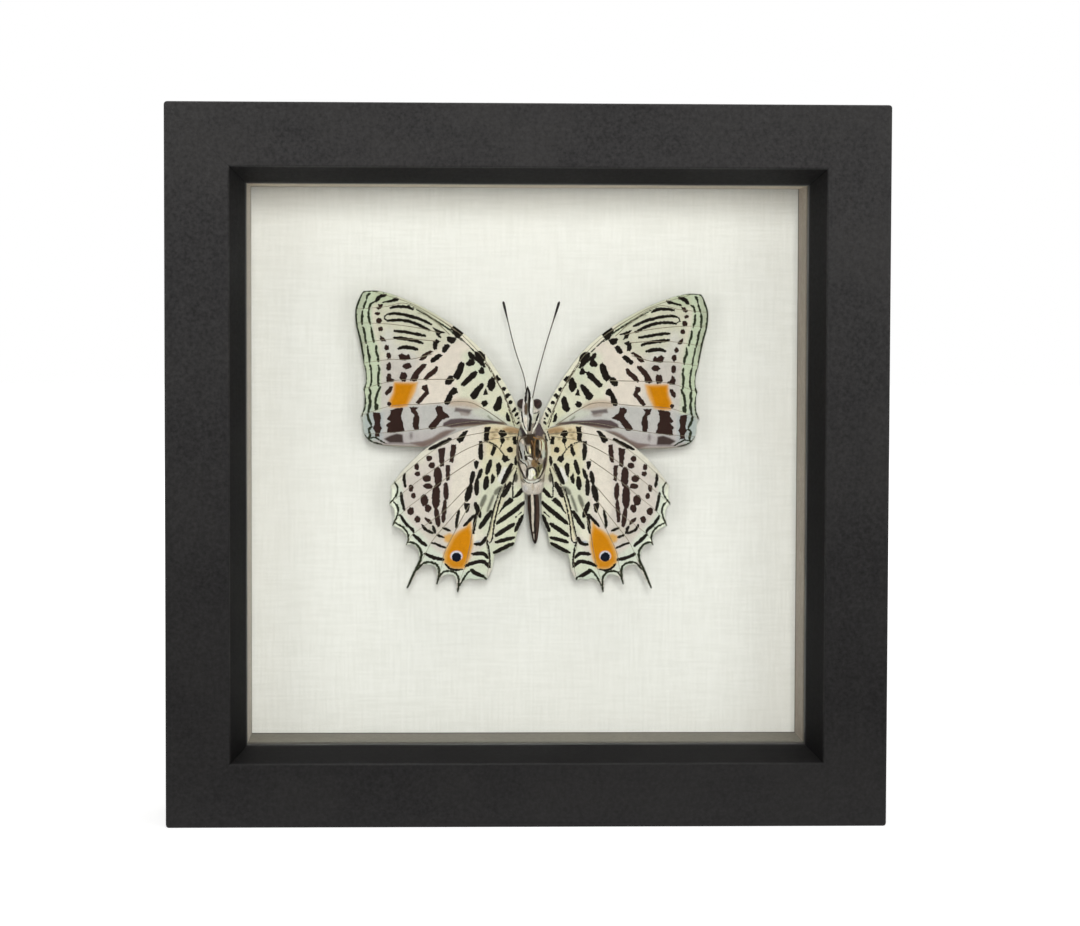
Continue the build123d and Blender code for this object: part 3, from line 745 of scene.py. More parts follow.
# %% Forewing bars
forewing_marks = [
    (ink_black, [
        [(10.2, 18.3), (10.5, 19.3), (11.4, 20.2), (11.9, 20.1), (11.2, 18.9), (10.5, 18.2)],
        (0.81, [(10.7, 17.3), (12.35, 19.8)]),
        (0.54, [(10.3, 16.8), (12.9, 19.1)]),
        (0.81, [(12.9, 18.6), (13.7, 19.7)]),
        [(12.5, 17.6), (12.7, 18.3), (13.6, 18.3), (14.3, 17.4), (13.8, 17.0), (12.9, 17.1)],
        [(14.7, 17.3), (15.3, 17.8), (15.9, 17.3), (16.3, 16.0), (17.0, 14.6), (16.2, 13.9),
         (15.6, 14.3), (15.2, 15.2), (14.9, 16.1)],
        [(10.4, 15.5), (10.6, 16.4), (11.0, 16.8), (11.3, 16.2), (11.7, 15.9), (11.3, 15.4), (10.7, 15.3)],
        [(11.8, 15.5), (12.3, 15.9), (13.0, 15.5), (15.2, 13.2), (15.2, 12.7), (14.5, 12.6), (12.2, 14.7)],
        [(8.0, 13.5), (8.3, 14.3), (8.8, 14.6), (9.2, 14.0), (9.6, 13.3), (9.6, 12.5), (9.0, 11.7),
         (8.6, 11.6), (8.1, 12.4)],
        [(6.95, 14.1), (7.5, 14.85), (8.0, 14.95), (7.9, 14.5), (7.45, 13.75)],
        (6.1, 12.1, 0.46, 0.46),
        [(4.7, 10.8), (5.15, 11.25), (5.9, 10.6), (5.45, 10.1)],
        (4.6, 9.2, 0.5, 0.47),
        (0.42, [(3.5, 8.05), (4.05, 7.15)]),
        (0.44, [(3.05, 6.95), (3.5, 6.25)]),
        (0.3, [(2.65, 5.9), (2.95, 5.7)]), (0.42, [(2.65, 5.0), (3.05, 4.6)]),
        [(9.5, 10.9), (10.0, 12.1), (10.4, 10.8)],
        [(9.5, 8.9), (9.9, 9.5), (10.6, 9.2), (10.8, 8.8), (10.3, 8.2), (9.8, 8.3)],
        [(10.4, 12.9), (10.9, 13.2), (11.8, 12.5), (13.3, 10.7), (12.9, 10.1), (12.4, 9.7), (11.8, 10.1),
         (11.1, 11.6)],
        [(6.4, 9.6), (6.9, 10.6), (7.4, 10.2), (7.8, 9.0), (8.3, 7.9), (7.9, 7.3), (7.4, 7.3), (6.6, 7.9),
         (6.6, 8.8)],
        [(4.55, 5.1), (5.2, 5.2), (5.5, 6.0), (5.3, 6.9), (4.9, 6.3)],
        [(16.9, 13.8), (17.2, 14.7), (17.8, 14.7), (18.6, 13.6), (18.5, 13.0), (18.0, 12.8), (17.4, 13.1)],
        [(16.0, 11.1), (16.2, 12.0), (16.9, 12.2), (17.6, 11.3), (18.6, 9.3), (18.5, 8.6), (17.8, 8.6),
         (17.4, 9.2), (17.0, 10.6)],
        [(15.2, 24.0), (16.0, 24.8), (17.2, 25.5), (17.7, 24.9), (17.3, 24.2), (16.7, 23.0), (16.2, 22.9),
         (15.5, 23.4)],
        [(16.6, 22.7), (17.2, 23.0), (18.2, 23.2), (18.6, 23.0), (18.3, 22.2), (17.7, 21.7), (17.1, 21.9)],
        [(17.9, 21.2), (18.4, 21.5), (18.9, 21.4), (19.4, 20.7), (19.6, 20.1), (19.0, 19.7), (18.5, 20.2)],
        [(19.5, 19.1), (20.1, 19.5), (21.0, 18.9), (21.9, 18.1), (21.8, 17.6), (21.3, 17.6), (20.4, 18.2)],
        [(20.0, 22.1), (20.8, 22.5), (21.4, 22.1), (21.5, 21.0), (21.2, 20.4), (20.7, 20.5), (20.6, 21.6)],
        [(18.9, 23.95), (20.1, 24.4), (21.6, 25.0), (21.0, 24.3), (20.8, 23.5), (20.3, 23.1), (19.7, 22.9),
         (20.2, 23.5), (20.1, 24.0)],
        (0.53, [(22.0, 25.8), (24.5, 26.9), (27.5, 27.7), (30.0, 28.0), (31.3, 27.8)]),
        (0.25, [(31.2, 27.85), (31.9, 27.4), (32.0, 26.9), (31.4, 26.5)]),
        (0.53, [(22.4, 24.5), (24.5, 25.6), (27.0, 26.4), (29.0, 26.6), (31.2, 26.4)]),
        (0.53, [(23.2, 23.3), (25.5, 23.7), (28.0, 24.1), (29.8, 24.2)]),
        (0.58, [(23.7, 21.7), (25.8, 22.3), (28.0, 22.6), (29.7, 22.8)]),
        (0.62, [(24.8, 20.3), (26.5, 20.7), (28.0, 20.7), (28.8, 20.4)]),
        (0.52, [(26.0, 28.9), (27.2, 29.4), (29.5, 29.5), (30.7, 29.2)]),
        (27.0, 29.5, 0.5, 0.35),
        (0.62, [(29.3, 31.1), (30.4, 30.8)]), (0.36, [(30.2, 30.8), (31.2, 30.6), (32.4, 30.35)]),
        (0.68, [(31.9, 31.9), (33.0, 31.6), (33.8, 30.7)]),
    ]),
]
print("forewing bars:", len(forewing_marks[0][1]))

# %% Forewing stripes and border
forewing_marks += [
    (ink_umber, [
        [(21.4, 20.0), (22.2, 20.0), (23.5, 19.3), (24.3, 18.1), (23.6, 18.0), (22.9, 18.6), (22.4, 19.4)],
        [(22.8, 17.2), (23.6, 17.1), (24.6, 16.2), (25.4, 15.2), (26.1, 13.7), (25.4, 13.5), (24.7, 13.7),
         (24.3, 14.9), (23.6, 15.9), (23.0, 16.5)],
        (0.8, [(20.6, 16.4), (21.0, 15.7), (22.0, 14.9), (22.9, 14.0)]),
        [(22.5, 12.7), (23.5, 12.4), (23.5, 11.9), (22.8, 11.2), (23.9, 9.9), (24.7, 8.9), (24.1, 8.6),
         (23.5, 9.1), (22.9, 10.0), (22.0, 10.9), (22.3, 11.6)],
        [(17.4, 5.9), (18.9, 7.0), (19.2, 8.0), (20.1, 8.1), (20.6, 7.6), (19.9, 6.2), (21.9, 3.6),
         (21.3, 3.1), (20.5, 3.3), (19.1, 5.3)],
        [(26.2, 18.3), (26.6, 19.2), (27.2, 18.9), (28.0, 19.4), (28.7, 19.0), (28.3, 18.1), (27.4, 18.0)],
        [(25.9, 16.6), (26.5, 17.4), (27.4, 17.1), (27.8, 16.6), (27.1, 16.1), (26.4, 16.2)],
        [(26.8, 14.4), (27.1, 15.3), (28.0, 15.2), (28.3, 14.2), (27.9, 13.5), (27.1, 13.4)],
        [(24.3, 7.8), (25.9, 7.8), (25.6, 6.9), (24.9, 6.2), (25.1, 5.2), (25.2, 4.0), (24.9, 3.0),
         (24.1, 3.1), (23.9, 5.4), (24.4, 6.6), (24.8, 7.3)],
        [(27.4, 7.6), (28.6, 7.5), (30.0, 7.1), (29.9, 6.2), (30.7, 5.2), (29.9, 4.8), (30.8, 3.8),
         (30.4, 3.3), (30.6, 2.3), (29.2, 2.3), (27.0, 2.8), (27.4, 3.8), (27.3, 4.4), (27.8, 5.2),
         (27.8, 6.4)],
        [(32.4, 29.9), (33.3, 29.8), (33.1, 29.4), (33.7, 29.2), (33.3, 28.8), (32.8, 29.1)],
        (33.5, 27.9, 0.55, 0.4), (33.1, 26.4, 0.62, 0.6), (32.7, 24.6, 0.52, 0.55),
        [(32.7, 23.1), (32.1, 22.8), (31.6, 22.0), (32.3, 22.0), (32.7, 22.5)],
        (31.3, 20.6, 0.5, 0.6), (30.8, 18.9, 0.52, 0.78), (30.7, 16.5, 0.52, 0.95),
        [(30.4, 15.0), (30.9, 14.8), (31.1, 14.0), (30.9, 13.2), (30.0, 13.3), (29.4, 13.6), (30.1, 14.0)],
        [(29.8, 12.2), (30.4, 12.1), (31.0, 11.4), (31.3, 10.7), (30.9, 10.4), (30.3, 10.9), (30.0, 11.5)],
        (30.4, 8.5, 0.5, 0.45),
        [(32.3, 6.4), (33.7, 6.5), (33.5, 5.3), (33.2, 4.1), (33.6, 3.2), (33.1, 2.4), (33.1, 1.5),
         (32.2, 1.4), (32.3, 2.3), (31.9, 3.2), (32.3, 4.1), (32.1, 5.3)],
    ]),
    (ink_olive, [
        (0.34, [(34.3, 30.4), (35.0, 29.9), (35.3, 28.8)]),
        (0.39, [(35.4, 28.4), (35.3, 27.0), (34.9, 25.6)]),
        (0.37, [(34.7, 24.9), (34.5, 23.6), (34.0, 21.7)]),
        (0.41, [(33.5, 21.1), (33.5, 19.6), (33.1, 18.8), (33.0, 17.6)]),
        (0.41, [(32.9, 16.8), (32.7, 15.8), (32.9, 14.6), (32.75, 12.3)]),
        (0.43, [(32.4, 12.0), (33.0, 10.6), (33.3, 8.8), (33.1, 8.0)]), (33.1, 7.8, 0.48, 0.85),
        (0.41, [(35.2, 32.2), (35.7, 31.8), (35.85, 31.0)]),
        (0.37, [(35.9, 30.7), (36.2, 29.9), (36.5, 28.9)]),
        (0.41, [(36.65, 28.5), (36.7, 27.0), (36.65, 25.6)]),
        (0.37, [(36.5, 25.0), (36.1, 24.0), (35.9, 22.6), (35.6, 21.4)]),
        (0.35, [(35.4, 21.0), (35.2, 19.6), (34.9, 18.6), (34.8, 17.2)]),
        (0.35, [(34.7, 16.8), (34.4, 15.4), (34.3, 13.0), (34.7, 11.9)]),
        (0.47, [(34.6, 11.6), (34.4, 10.8), (34.6, 9.8), (34.4, 8.8), (34.7, 6.6)]),
        (0.47, [(34.9, 6.3), (34.7, 5.3), (34.0, 3.9)]),
        (0.41, [(33.9, 3.5), (34.5, 2.9), (34.2, 1.6), (34.4, 0.9)]),
        (0.27, [(34.4, 0.9), (33.2, 1.2), (32.2, 0.7), (30.9, -0.1)]),
        (0.24, [(35.4, 1.9), (34.6, 0.8), (33.2, 0.1), (31.6, -0.3)]),
        (0.24, [(29.6, 31.9), (32.4, 32.7), (34.4, 32.75), (36.2, 32.7)]),
        (0.39, [(36.3, 32.65), (36.8, 32.4), (37.5, 30.6), (38.0, 29.0), (38.05, 27.4), (37.8, 25.4),
               (37.3, 23.4), (36.8, 21.6), (36.45, 19.8), (36.1, 18.2)]),
        (0.28, [(36.1, 18.4), (36.1, 16.9), (35.65, 16.0), (35.45, 13.6), (35.55, 12.2), (35.85, 11.1),
                (35.5, 9.6), (35.5, 7.8), (36.0, 6.1), (36.05, 5.7)]),
        (0.2, [(12.5, 19.9), (15.8, 23.0), (20.0, 26.0), (26.0, 29.4)]),
        (0.17, [(15.5, 22.4), (19.0, 25.2), (23.4, 27.9)]),
    ]),
    (linear(78, 68, 52), [
        (0.18, [(3.6, 3.9), (3.95, 5.0), (4.3, 6.2), (4.8, 7.4), (5.25, 8.9), (5.75, 10.1), (6.5, 11.8),
                (7.35, 13.2), (8.3, 14.8), (9.3, 16.4), (10.3, 17.7)]),
        (0.1, [(6.9, 12.3), (7.8, 13.8), (8.6, 15.1), (9.6, 16.6)]),
    ]),
]
print("forewing marks:", sum(len(marks) for ink, marks in forewing_marks))

# %% Forewing smudges
forewing_smudges = [
    (linear(96, 84, 60), 0.4, 0.7, [(0.35, [(19.7, 25.5), (22.0, 27.1), (23.7, 28.1), (24.6, 28.2)])]),
    (linear(84, 70, 70), 0.25, 0.85, [[(12.9, 7.4), (14.0, 7.5), (16.2, 7.8), (16.4, 7.1), (14.6, 7.0),
                                       (13.4, 6.7)]]),
    (linear(128, 112, 104), 0.3, 0.6, [[(13.0, 6.7), (15.4, 7.0), (15.0, 6.3), (13.6, 6.2)]]),
    (linear(112, 116, 98), 0.25, 0.8, [(0.3, [(8.3, 5.4), (8.8, 5.7), (9.3, 6.2)])]),
    (ink_plum, 0.35, 0.6, [(25.5, 1.7, 0.3, 0.7)]),
    (ink_umber, 0.25, 0.95, [[(27.4, 1.8), (28.6, 2.0), (30.0, 1.5), (31.1, 0.9), (30.0, 0.2), (27.2, 0.2)]]),
    (linear(118, 96, 72), 0.35, 0.9, [[(4.6, 3.4), (6.0, 4.9), (9.0, 5.0), (15.0, 4.6), (18.0, 4.0),
                                       (17.0, 3.6), (10.0, 4.2), (6.0, 3.8)]]),
    (linear(76, 60, 62), 0.22, 0.95, [[(6.0, 4.7), (9.0, 5.2), (12.0, 5.3), (15.0, 5.5), (17.2, 5.3),
                                       (18.6, 4.5), (18.8, 3.9), (17.0, 3.7), (14.0, 4.3), (10.0, 4.6)]]),
    (linear(112, 92, 84), 0.35, 0.9, [[(16.2, 3.1), (18.0, 2.9), (19.4, 2.3), (21.0, 1.2), (23.0, 0.4),
                                       (25.5, 0.1), (23.0, -0.7), (21.5, -0.1), (19.0, 1.3)]]),
    (linear(112, 98, 100), 0.2, 0.7, [(0.2, [(22.5, 0.4), (26.0, 0.0), (31.0, -0.05)])]),
    (linear(138, 124, 98), 0.15, 0.8, [(0.18, [(23.0, -0.85), (27.0, -0.7), (33.0, -0.5)])]),
    (linear(166, 174, 176), 0.5, 0.6, [[(31.5, 0.6), (33.8, 0.8), (35.4, 2.0), (35.6, 5.0), (34.8, 6.4),
                                        (31.6, 6.4)]]),
]
print("forewing smudges:", len(forewing_smudges))

# %% [markdown]
# ## The hindwing's pattern
# The hindwing is built up in the same way: bars and blobs in rows beside a pale band, slanting
# stripes beside the body, wavy lines that follow each scallop, and an orange teardrop that holds
# one black eyespot with a pale ring.

# %% Hindwing washes
hindwing_washes = [
    (linear(206, 197, 188), 1.0, 1.0, []),
    (linear(211, 198, 164), 1.3, 1.0, [[(2.0, 4.4), (10.8, 4.6), (10.6, -3.0), (3.0, -3.0)]]),
    (linear(208, 203, 175), 1.4, 1.0, [[(2.0, -3.0), (11.4, -2.6), (11.8, -8.0), (8.0, -9.0),
                                        (2.0, -7.0)]]),
    (linear(206, 206, 184), 1.4, 1.0, [[(5.0, -7.0), (11.4, -8.0), (12.6, -15.0), (12.0, -19.0),
                                        (8.6, -20.0)]]),
    (linear(208, 209, 185), 1.0, 1.0, [[(2.0, -8.0), (4.6, -9.0), (7.6, -16.0), (8.6, -24.0),
                                        (2.0, -23.0)]]),
    (linear(221, 212, 199), 0.9, 1.0, [[(11.2, 4.3), (16.0, 2.8), (17.0, -3.0), (17.4, -9.0),
                                        (17.6, -13.0), (16.0, -17.0), (14.0, -14.6), (12.4, -6.0),
                                        (11.6, 0.0)]]),
    (linear(222, 216, 198), 0.8, 0.9, [(1.6, [(11.4, -18.4), (12.4, -20.6)])]),
    (linear(194, 186, 172), 1.2, 0.8, [(2.6, [(18.8, -18.4), (21.4, -18.6)])]),
    (linear(206, 211, 196), 0.7, 1.0, [(2.8, [(28.9, -8.8), (28.9, -14.6), (27.4, -17.6), (24.6, -20.6),
                                              (22.2, -23.6), (19.6, -25.4), (15.4, -27.6), (10.6, -26.6)])]),
    (linear(226, 229, 210), 0.4, 1.0, [(0.9, [(29.4, -9.8), (29.0, -14.4), (27.8, -18.2), (26.0, -20.6),
                                              (24.2, -22.4), (23.9, -24.8)])]),
    (linear(214, 210, 194), 0.8, 0.8, [(1.4, [(20.5, 0.2), (25.6, -4.4), (29.4, -8.8)])]),
    (linear(222, 219, 217), 0.3, 0.8, [(0.8, [(6.3, -5.0), (7.4, -7.6)])]),
    (linear(206, 186, 150), 0.5, 0.8, [[(7.8, 3.6), (9.6, 3.6), (9.8, 1.2), (8.0, 0.6)]]),
    (linear(148, 110, 70), 0.5, 0.8, [(1.0, [(3.6, 2.9), (5.2, 3.3), (6.6, 3.3)])]),
    (linear(216, 212, 194), 0.25, 0.8, [[(2.3, 3.3), (3.3, 3.2), (3.9, 0.6), (4.0, -2.0), (3.3, -2.6),
                                         (2.2, 0.0)]]),
    (linear(208, 212, 190), 0.9, 0.9, [(3.2, [(9.2, -22.5), (10.6, -25.4), (12.6, -26.6)])]),
    (linear(196, 205, 188), 0.6, 0.9, [(1.4, [(10.2, -28.6), (12.2, -28.6), (14.4, -28.4)])]),
    (linear(218, 208, 172), 0.5, 0.7, [(0.7, [(5.4, -8.0), (8.0, -14.6), (9.2, -20.4)])]),
    (linear(208, 158, 84), 0.45, 1.0, [[(13.3, -16.4), (14.2, -17.8), (15.5, -18.5), (16.6, -19.4),
                                        (17.6, -19.2), (18.7, -19.8), (18.4, -20.8), (17.6, -21.2),
                                        (18.6, -23.5), (18.6, -25.3), (17.6, -26.6), (15.5, -27.0),
                                        (14.1, -26.6), (13.3, -24.5), (12.7, -21.5), (12.9, -19.0)]]),
    (linear(202, 128, 6), 0.5, 1.0, [[(13.6, -17.8), (15.3, -18.9), (16.6, -20.4), (17.8, -23.2),
                                      (18.0, -25.2), (16.7, -26.4), (14.8, -26.4), (13.8, -24.4),
                                      (13.2, -21.8), (13.2, -19.4)]]),
    (linear(206, 202, 212), 0.16, 1.0, [(16.0, -24.05, 1.25, 1.15)]),
    (linear(198, 130, 26), 0.25, 1.0, [(0.7, [(14.6, -25.0), (15.5, -25.5), (16.6, -25.4), (17.4, -24.9)])]),
    (linear(120, 146, 176), 0.3, 0.6, [(11.6, -21.0, 0.5, 0.3)]),
]
print("hindwing washes:", len(hindwing_washes))

# %% Hindwing bars
hindwing_marks = [
    (ink_black, [
        [(6.2, 2.2), (6.6, 3.1), (7.5, 3.2), (7.8, 2.6), (7.3, 1.9), (7.5, 0.9), (7.0, 0.3), (6.6, 1.0),
         (6.9, 1.9)],
        [(9.6, 3.9), (10.6, 3.9), (10.8, 1.3), (10.3, 0.8), (9.9, 1.2), (9.9, 2.5)],
        [(14.1, 3.1), (15.0, 2.9), (15.9, 1.9), (16.4, 1.2), (15.9, 0.5), (15.2, 0.9), (14.9, 1.8)],
        (0.65, [(17.8, 1.3), (20.3, 0.0), (22.0, -0.8)]),
        (5.4, -1.0, 0.65, 0.65),
        [(5.5, -3.2), (6.0, -2.4), (6.8, -2.2), (7.0, -3.0), (6.4, -3.7)],
        [(8.3, -0.2), (8.8, 0.1), (9.0, -0.8), (9.4, -1.9), (9.0, -2.3), (8.6, -1.6)],
        [(11.2, 0.8), (11.8, 0.8), (11.9, -1.5), (11.6, -3.1), (11.1, -3.2), (11.0, -1.5)],
        [(4.0, 0.2), (4.3, 1.8), (4.9, 1.9), (4.7, 0.3)],
        [(11.9, -3.6), (12.3, -3.4), (12.8, -3.6), (12.6, -4.8), (12.3, -5.2), (12.0, -4.7)],
        [(7.1, -4.5), (7.6, -3.8), (8.1, -4.1), (8.1, -5.5), (7.9, -6.8), (7.5, -6.2)],
        (0.78, [(9.4, -3.4), (10.1, -6.1)]),
        (0.78, [(5.0, -4.2), (6.8, -8.2)]),
        [(8.4, -6.9), (9.0, -6.1), (9.2, -7.4), (9.1, -8.3), (8.7, -8.0)],
        (0.65, [(11.2, -5.3), (11.9, -7.2)]),
        (0.78, [(12.1, -7.5), (12.1, -10.6)]),
        (0.78, [(12.9, -5.9), (13.3, -8.2)]),
        (1.04, [(13.4, -8.9), (14.1, -11.8)]),
        (0.91, [(10.1, -7.1), (10.3, -9.3)]),
        (0.78, [(5.2, -8.2), (6.6, -11.1)]),
        (0.52, [(4.0, -2.4), (4.2, -4.2)]),
        (0.2, [(3.4, 3.0), (3.65, 2.2), (3.95, 1.2)]), (0.22, [(2.7, 2.9), (3.1, 1.7), (3.35, 0.7)]),
        (0.18, [(7.1, 0.3), (7.3, -0.4), (7.55, -0.8), (7.0, -1.6), (6.5, -2.3)]),
        (0.2, [(7.6, -0.8), (8.3, -0.1), (9.1, 0.4), (10.1, 0.7), (10.9, 0.9)]),
        [(2.1, -9.8), (2.7, -9.2), (3.5, -10.0), (4.4, -11.4), (3.6, -11.2)],
        [(4.4, -12.0), (5.1, -11.3), (6.2, -12.3), (7.4, -14.8), (6.4, -13.5)],
        (0.78, [(2.3, -12.4), (4.0, -14.0), (7.7, -16.9)]),
        (0.65, [(2.4, -15.2), (3.9, -18.6)]),
        (0.2, [(2.6, -14.4), (3.9, -15.6)]),
        (0.78, [(4.2, -17.1), (7.9, -19.6)]),
        (0.65, [(4.1, -20.0), (7.9, -21.0)]),
        (0.65, [(4.3, -21.3), (8.2, -23.3)]),
        (0.8, [(12.3, -12.6), (11.3, -15.4)]),
        [(13.5, -12.8), (14.6, -12.5), (14.5, -13.5), (14.1, -14.6), (13.7, -14.2)],
        (0.78, [(9.0, -14.4), (11.3, -17.9)]),
        (0.52, [(12.2, -15.0), (12.6, -19.0)]),
        (0.52, [(12.3, -15.0), (14.6, -17.5)]),
        (0.52, [(15.7, -14.2), (16.1, -16.5), (16.1, -17.9)]),
    ]),
]
print("hindwing bars:", len(hindwing_marks[0][1]))

# %% Hindwing spots, waves and smudges
hindwing_marks += [
    (ink_umber, [
        [(16.7, 0.0), (17.5, 0.1), (17.7, -2.0), (17.7, -3.6), (17.2, -3.7), (16.7, -1.5)],
        [(17.8, -4.4), (18.6, -4.4), (18.5, -6.5), (18.3, -7.7), (17.8, -7.4)],
        (0.82, [(18.5, -8.4), (18.4, -11.6)]),
        (0.71, [(18.6, -12.1), (18.9, -16.5)]),
        [(18.9, -0.6), (20.2, -0.9), (20.0, -2.5), (19.7, -4.6), (19.1, -4.4)],
        (1.22, [(20.3, -5.2), (20.1, -8.5)]),
        (1.25, [(20.5, -9.2), (20.5, -13.3)]),
        (0.83, [(20.4, -13.9), (19.9, -17.4)]),
        (22.1, -2.9, 0.65, 0.65), (21.5, -4.4, 0.78, 0.65), (22.5, -7.2, 0.91, 0.78),
        (22.2, -8.9, 0.98, 0.65), (22.9, -11.9, 0.85, 1.23), (22.1, -13.7, 0.72, 0.85),
        (24.6, -4.7, 0.52, 0.72), (24.4, -6.2, 0.59, 0.52), (25.7, -9.3, 0.52, 0.78),
        (25.2, -11.0, 0.55, 0.65), (25.7, -14.3, 0.72, 0.85), (24.2, -16.1, 0.65, 0.78),
        (0.59, [(21.4, -16.9), (22.5, -15.9)]),
    ]),
    (ink_black, [
        (0.5, [(21.0, -17.6), (20.5, -19.0)]),
        (0.5, [(21.0, -19.1), (22.5, -18.3), (23.2, -17.3)]),
        (0.44, [(17.4, -18.6), (18.9, -17.9)]),
        (0.44, [(18.7, -20.0), (20.0, -19.5)]),
        (0.44, [(18.4, -22.2), (19.3, -21.9), (20.3, -21.4), (21.2, -21.2)]),
        (0.5, [(27.1, -6.3), (27.2, -7.0), (26.9, -9.0)]),
        (0.5, [(27.8, -10.3), (27.4, -12.5), (27.0, -14.1)]),
        (0.5, [(27.8, -15.2), (26.5, -17.2), (25.3, -18.2), (25.0, -18.9)]),
        (0.6, [(25.0, -19.4), (23.5, -20.8), (22.3, -21.8)]),
        (0.6, [(22.5, -23.5), (20.7, -24.4), (18.7, -24.8)]),
        [(9.8, -28.7), (11.4, -27.6), (12.6, -26.9), (13.2, -27.1), (12.4, -28.0), (11.0, -28.6)],
        (0.65, [(9.2, -26.4), (10.0, -25.5), (11.0, -25.2), (13.0, -25.7), (14.0, -26.2)]),
        (0.62, [(9.5, -24.4), (10.5, -23.5), (12.7, -23.6)]),
        (0.62, [(10.0, -20.0), (10.9, -21.3), (12.2, -21.5)]),
        (0.28, [(6.1, -8.4), (7.4, -12.4), (8.3, -17.0), (8.7, -20.4), (9.3, -21.2)]),
        (0.24, [(7.2, -9.4), (8.4, -13.4), (9.2, -17.6), (9.8, -20.2), (9.4, -21.1)]),
        (0.3, [(10.1, -20.2), (9.4, -22.2), (9.1, -24.4), (9.0, -26.6)]),
        (0.26, [(3.9, -5.0), (4.6, -8.0), (4.6, -11.4)]),
        (0.38, [(14.7, -26.9), (16.0, -27.1), (17.2, -26.8), (18.3, -25.8)]),
    ]),
    (ink_olive, [
        (0.34, [(29.2, -8.0), (28.5, -9.3), (28.8, -11.0), (30.1, -12.7)]),
        (0.34, [(29.5, -12.1), (28.6, -13.0), (28.3, -14.5), (28.8, -16.2), (29.4, -17.4)]),
        (0.34, [(29.0, -16.8), (27.3, -17.7), (26.2, -19.1), (26.1, -20.5), (26.5, -21.6)]),
        (0.43, [(26.4, -21.2), (25.2, -21.1), (24.0, -21.9), (23.3, -23.3), (23.5, -25.0), (24.3, -26.8),
               (26.1, -31.0)]),
        (0.4, [(24.0, -26.9), (22.8, -25.6), (21.3, -25.4), (20.0, -26.0), (19.5, -27.2), (19.6, -28.6),
               (19.9, -30.1)]),
        (0.36, [(19.6, -28.8), (18.8, -27.6), (17.9, -27.3), (16.5, -27.5), (15.6, -28.5), (15.4, -30.0),
                (15.6, -31.9)]),
        (0.36, [(15.2, -30.5), (14.3, -28.7), (13.2, -27.3), (12.5, -27.0), (11.8, -27.8), (10.3, -28.4),
                (9.7, -29.2)]),
    ]),
    (linear(14, 18, 34), [(16.0, -24.25, 1.02, 1.0)]),
]
hindwing_smudges = [
    (linear(120, 96, 60), 0.3, 0.75, [(8.3, 3.3, 0.3, 0.25), (9.0, 2.8, 0.25, 0.2), (8.6, 2.2, 0.35, 0.25),
                                      (9.0, 1.5, 0.3, 0.25), (5.4, 2.6, 0.5, 0.4), (5.9, 1.4, 0.3, 0.3)]),
    (linear(40, 32, 30), 0.2, 0.9, [(0.7, [(4.1, -6.3), (4.1, -7.7)])]),
    (ink_black, 0.25, 0.75, [(0.9, [(7.0, -9.2), (8.2, -10.4)]),
                             (0.45, [(8.6, -10.9), (9.8, -14.3)]), (0.7, [(10.3, -11.0), (11.1, -13.1)])]),
]
print("hindwing marks:", sum(len(marks) for ink, marks in hindwing_marks))

# %% [markdown]
# ## Fine wing meshes
# The marks need a vertex every sixth of a millimetre or so, and the scalloped edge needs a clean
# border. A constrained Delaunay triangulation gives both: it is handed the edge as a closed loop
# and an even lattice of points inside, and returns neat triangles. The wing then gets gentle
# waves and low ridges along its veins, because a dried wing is never flat.

# %% Veins
forewing_veins = [
    [(3.4, 4.6), (5.6, 9.9), (9.4, 16.9), (13.6, 21.9), (18.5, 25.8), (25.0, 29.6)],
    [(16.6, 24.4), (21.5, 27.6), (27.0, 30.4), (34.2, 32.6)],
    [(18.0, 23.6), (22.5, 27.6), (27.5, 30.2), (32.0, 29.4), (38.1, 28.8)],
    [(20.2, 24.0), (25.0, 25.0), (31.0, 25.7), (38.0, 25.9)],
    [(21.0, 22.2), (26.0, 22.5), (31.0, 22.4), (36.9, 21.5)],
    [(21.6, 19.4), (26.0, 18.2), (31.0, 18.0), (36.2, 17.2)],
    [(16.6, 14.0), (22.0, 13.9), (29.0, 13.6), (35.9, 11.7)],
    [(5.2, 4.4), (10.8, 8.0), (14.5, 9.2), (22.0, 8.6), (30.0, 8.0), (36.3, 5.9)],
    [(4.0, 3.8), (12.0, 4.9), (20.0, 3.6), (27.0, 2.6), (35.4, 1.9)],
]
hindwing_veins = [
    [(3.6, 2.4), (10.0, 2.8), (17.5, 1.1), (22.5, -2.1), (26.3, -5.4), (29.6, -8.6)],
    [(10.2, 0.9), (15.0, -1.2), (21.0, -5.2), (26.0, -9.2), (30.0, -12.7)],
    [(12.6, -3.0), (18.0, -6.8), (23.5, -11.3), (27.0, -14.2), (29.4, -17.4)],
    [(14.0, -9.0), (18.5, -14.0), (22.5, -17.3), (25.3, -19.5), (26.5, -21.6)],
    [(14.2, -12.0), (18.0, -16.8), (20.9, -20.5), (22.4, -23.4), (23.6, -26.0)],
    [(13.6, -13.0), (16.4, -18.6), (18.4, -23.0), (19.1, -26.6), (19.5, -28.2)],
    [(10.6, -12.6), (12.5, -17.4), (13.3, -22.0), (14.2, -26.4), (15.2, -29.4)],
    [(4.4, -4.6), (6.8, -9.4), (8.3, -13.8), (9.1, -18.6), (9.9, -21.0), (9.2, -25.0), (9.6, -28.4)],
    [(4.0, 2.0), (10.0, 0.95), (7.6, -0.8), (6.2, -2.4)],
]
print("veins:", len(forewing_veins), "and", len(hindwing_veins))

# %% Lattice and relief
lattice_step = 0.155
edge_clearance = 0.55        # of a step: closer points would give slivers at the edge
wing_thickness = 0.12
stiff_root = 9.0             # the waves grow over this length from the body
vein_ridge = 0.06            # how far a ridge stands up
vein_spread = 0.3            # how far it reaches to each side


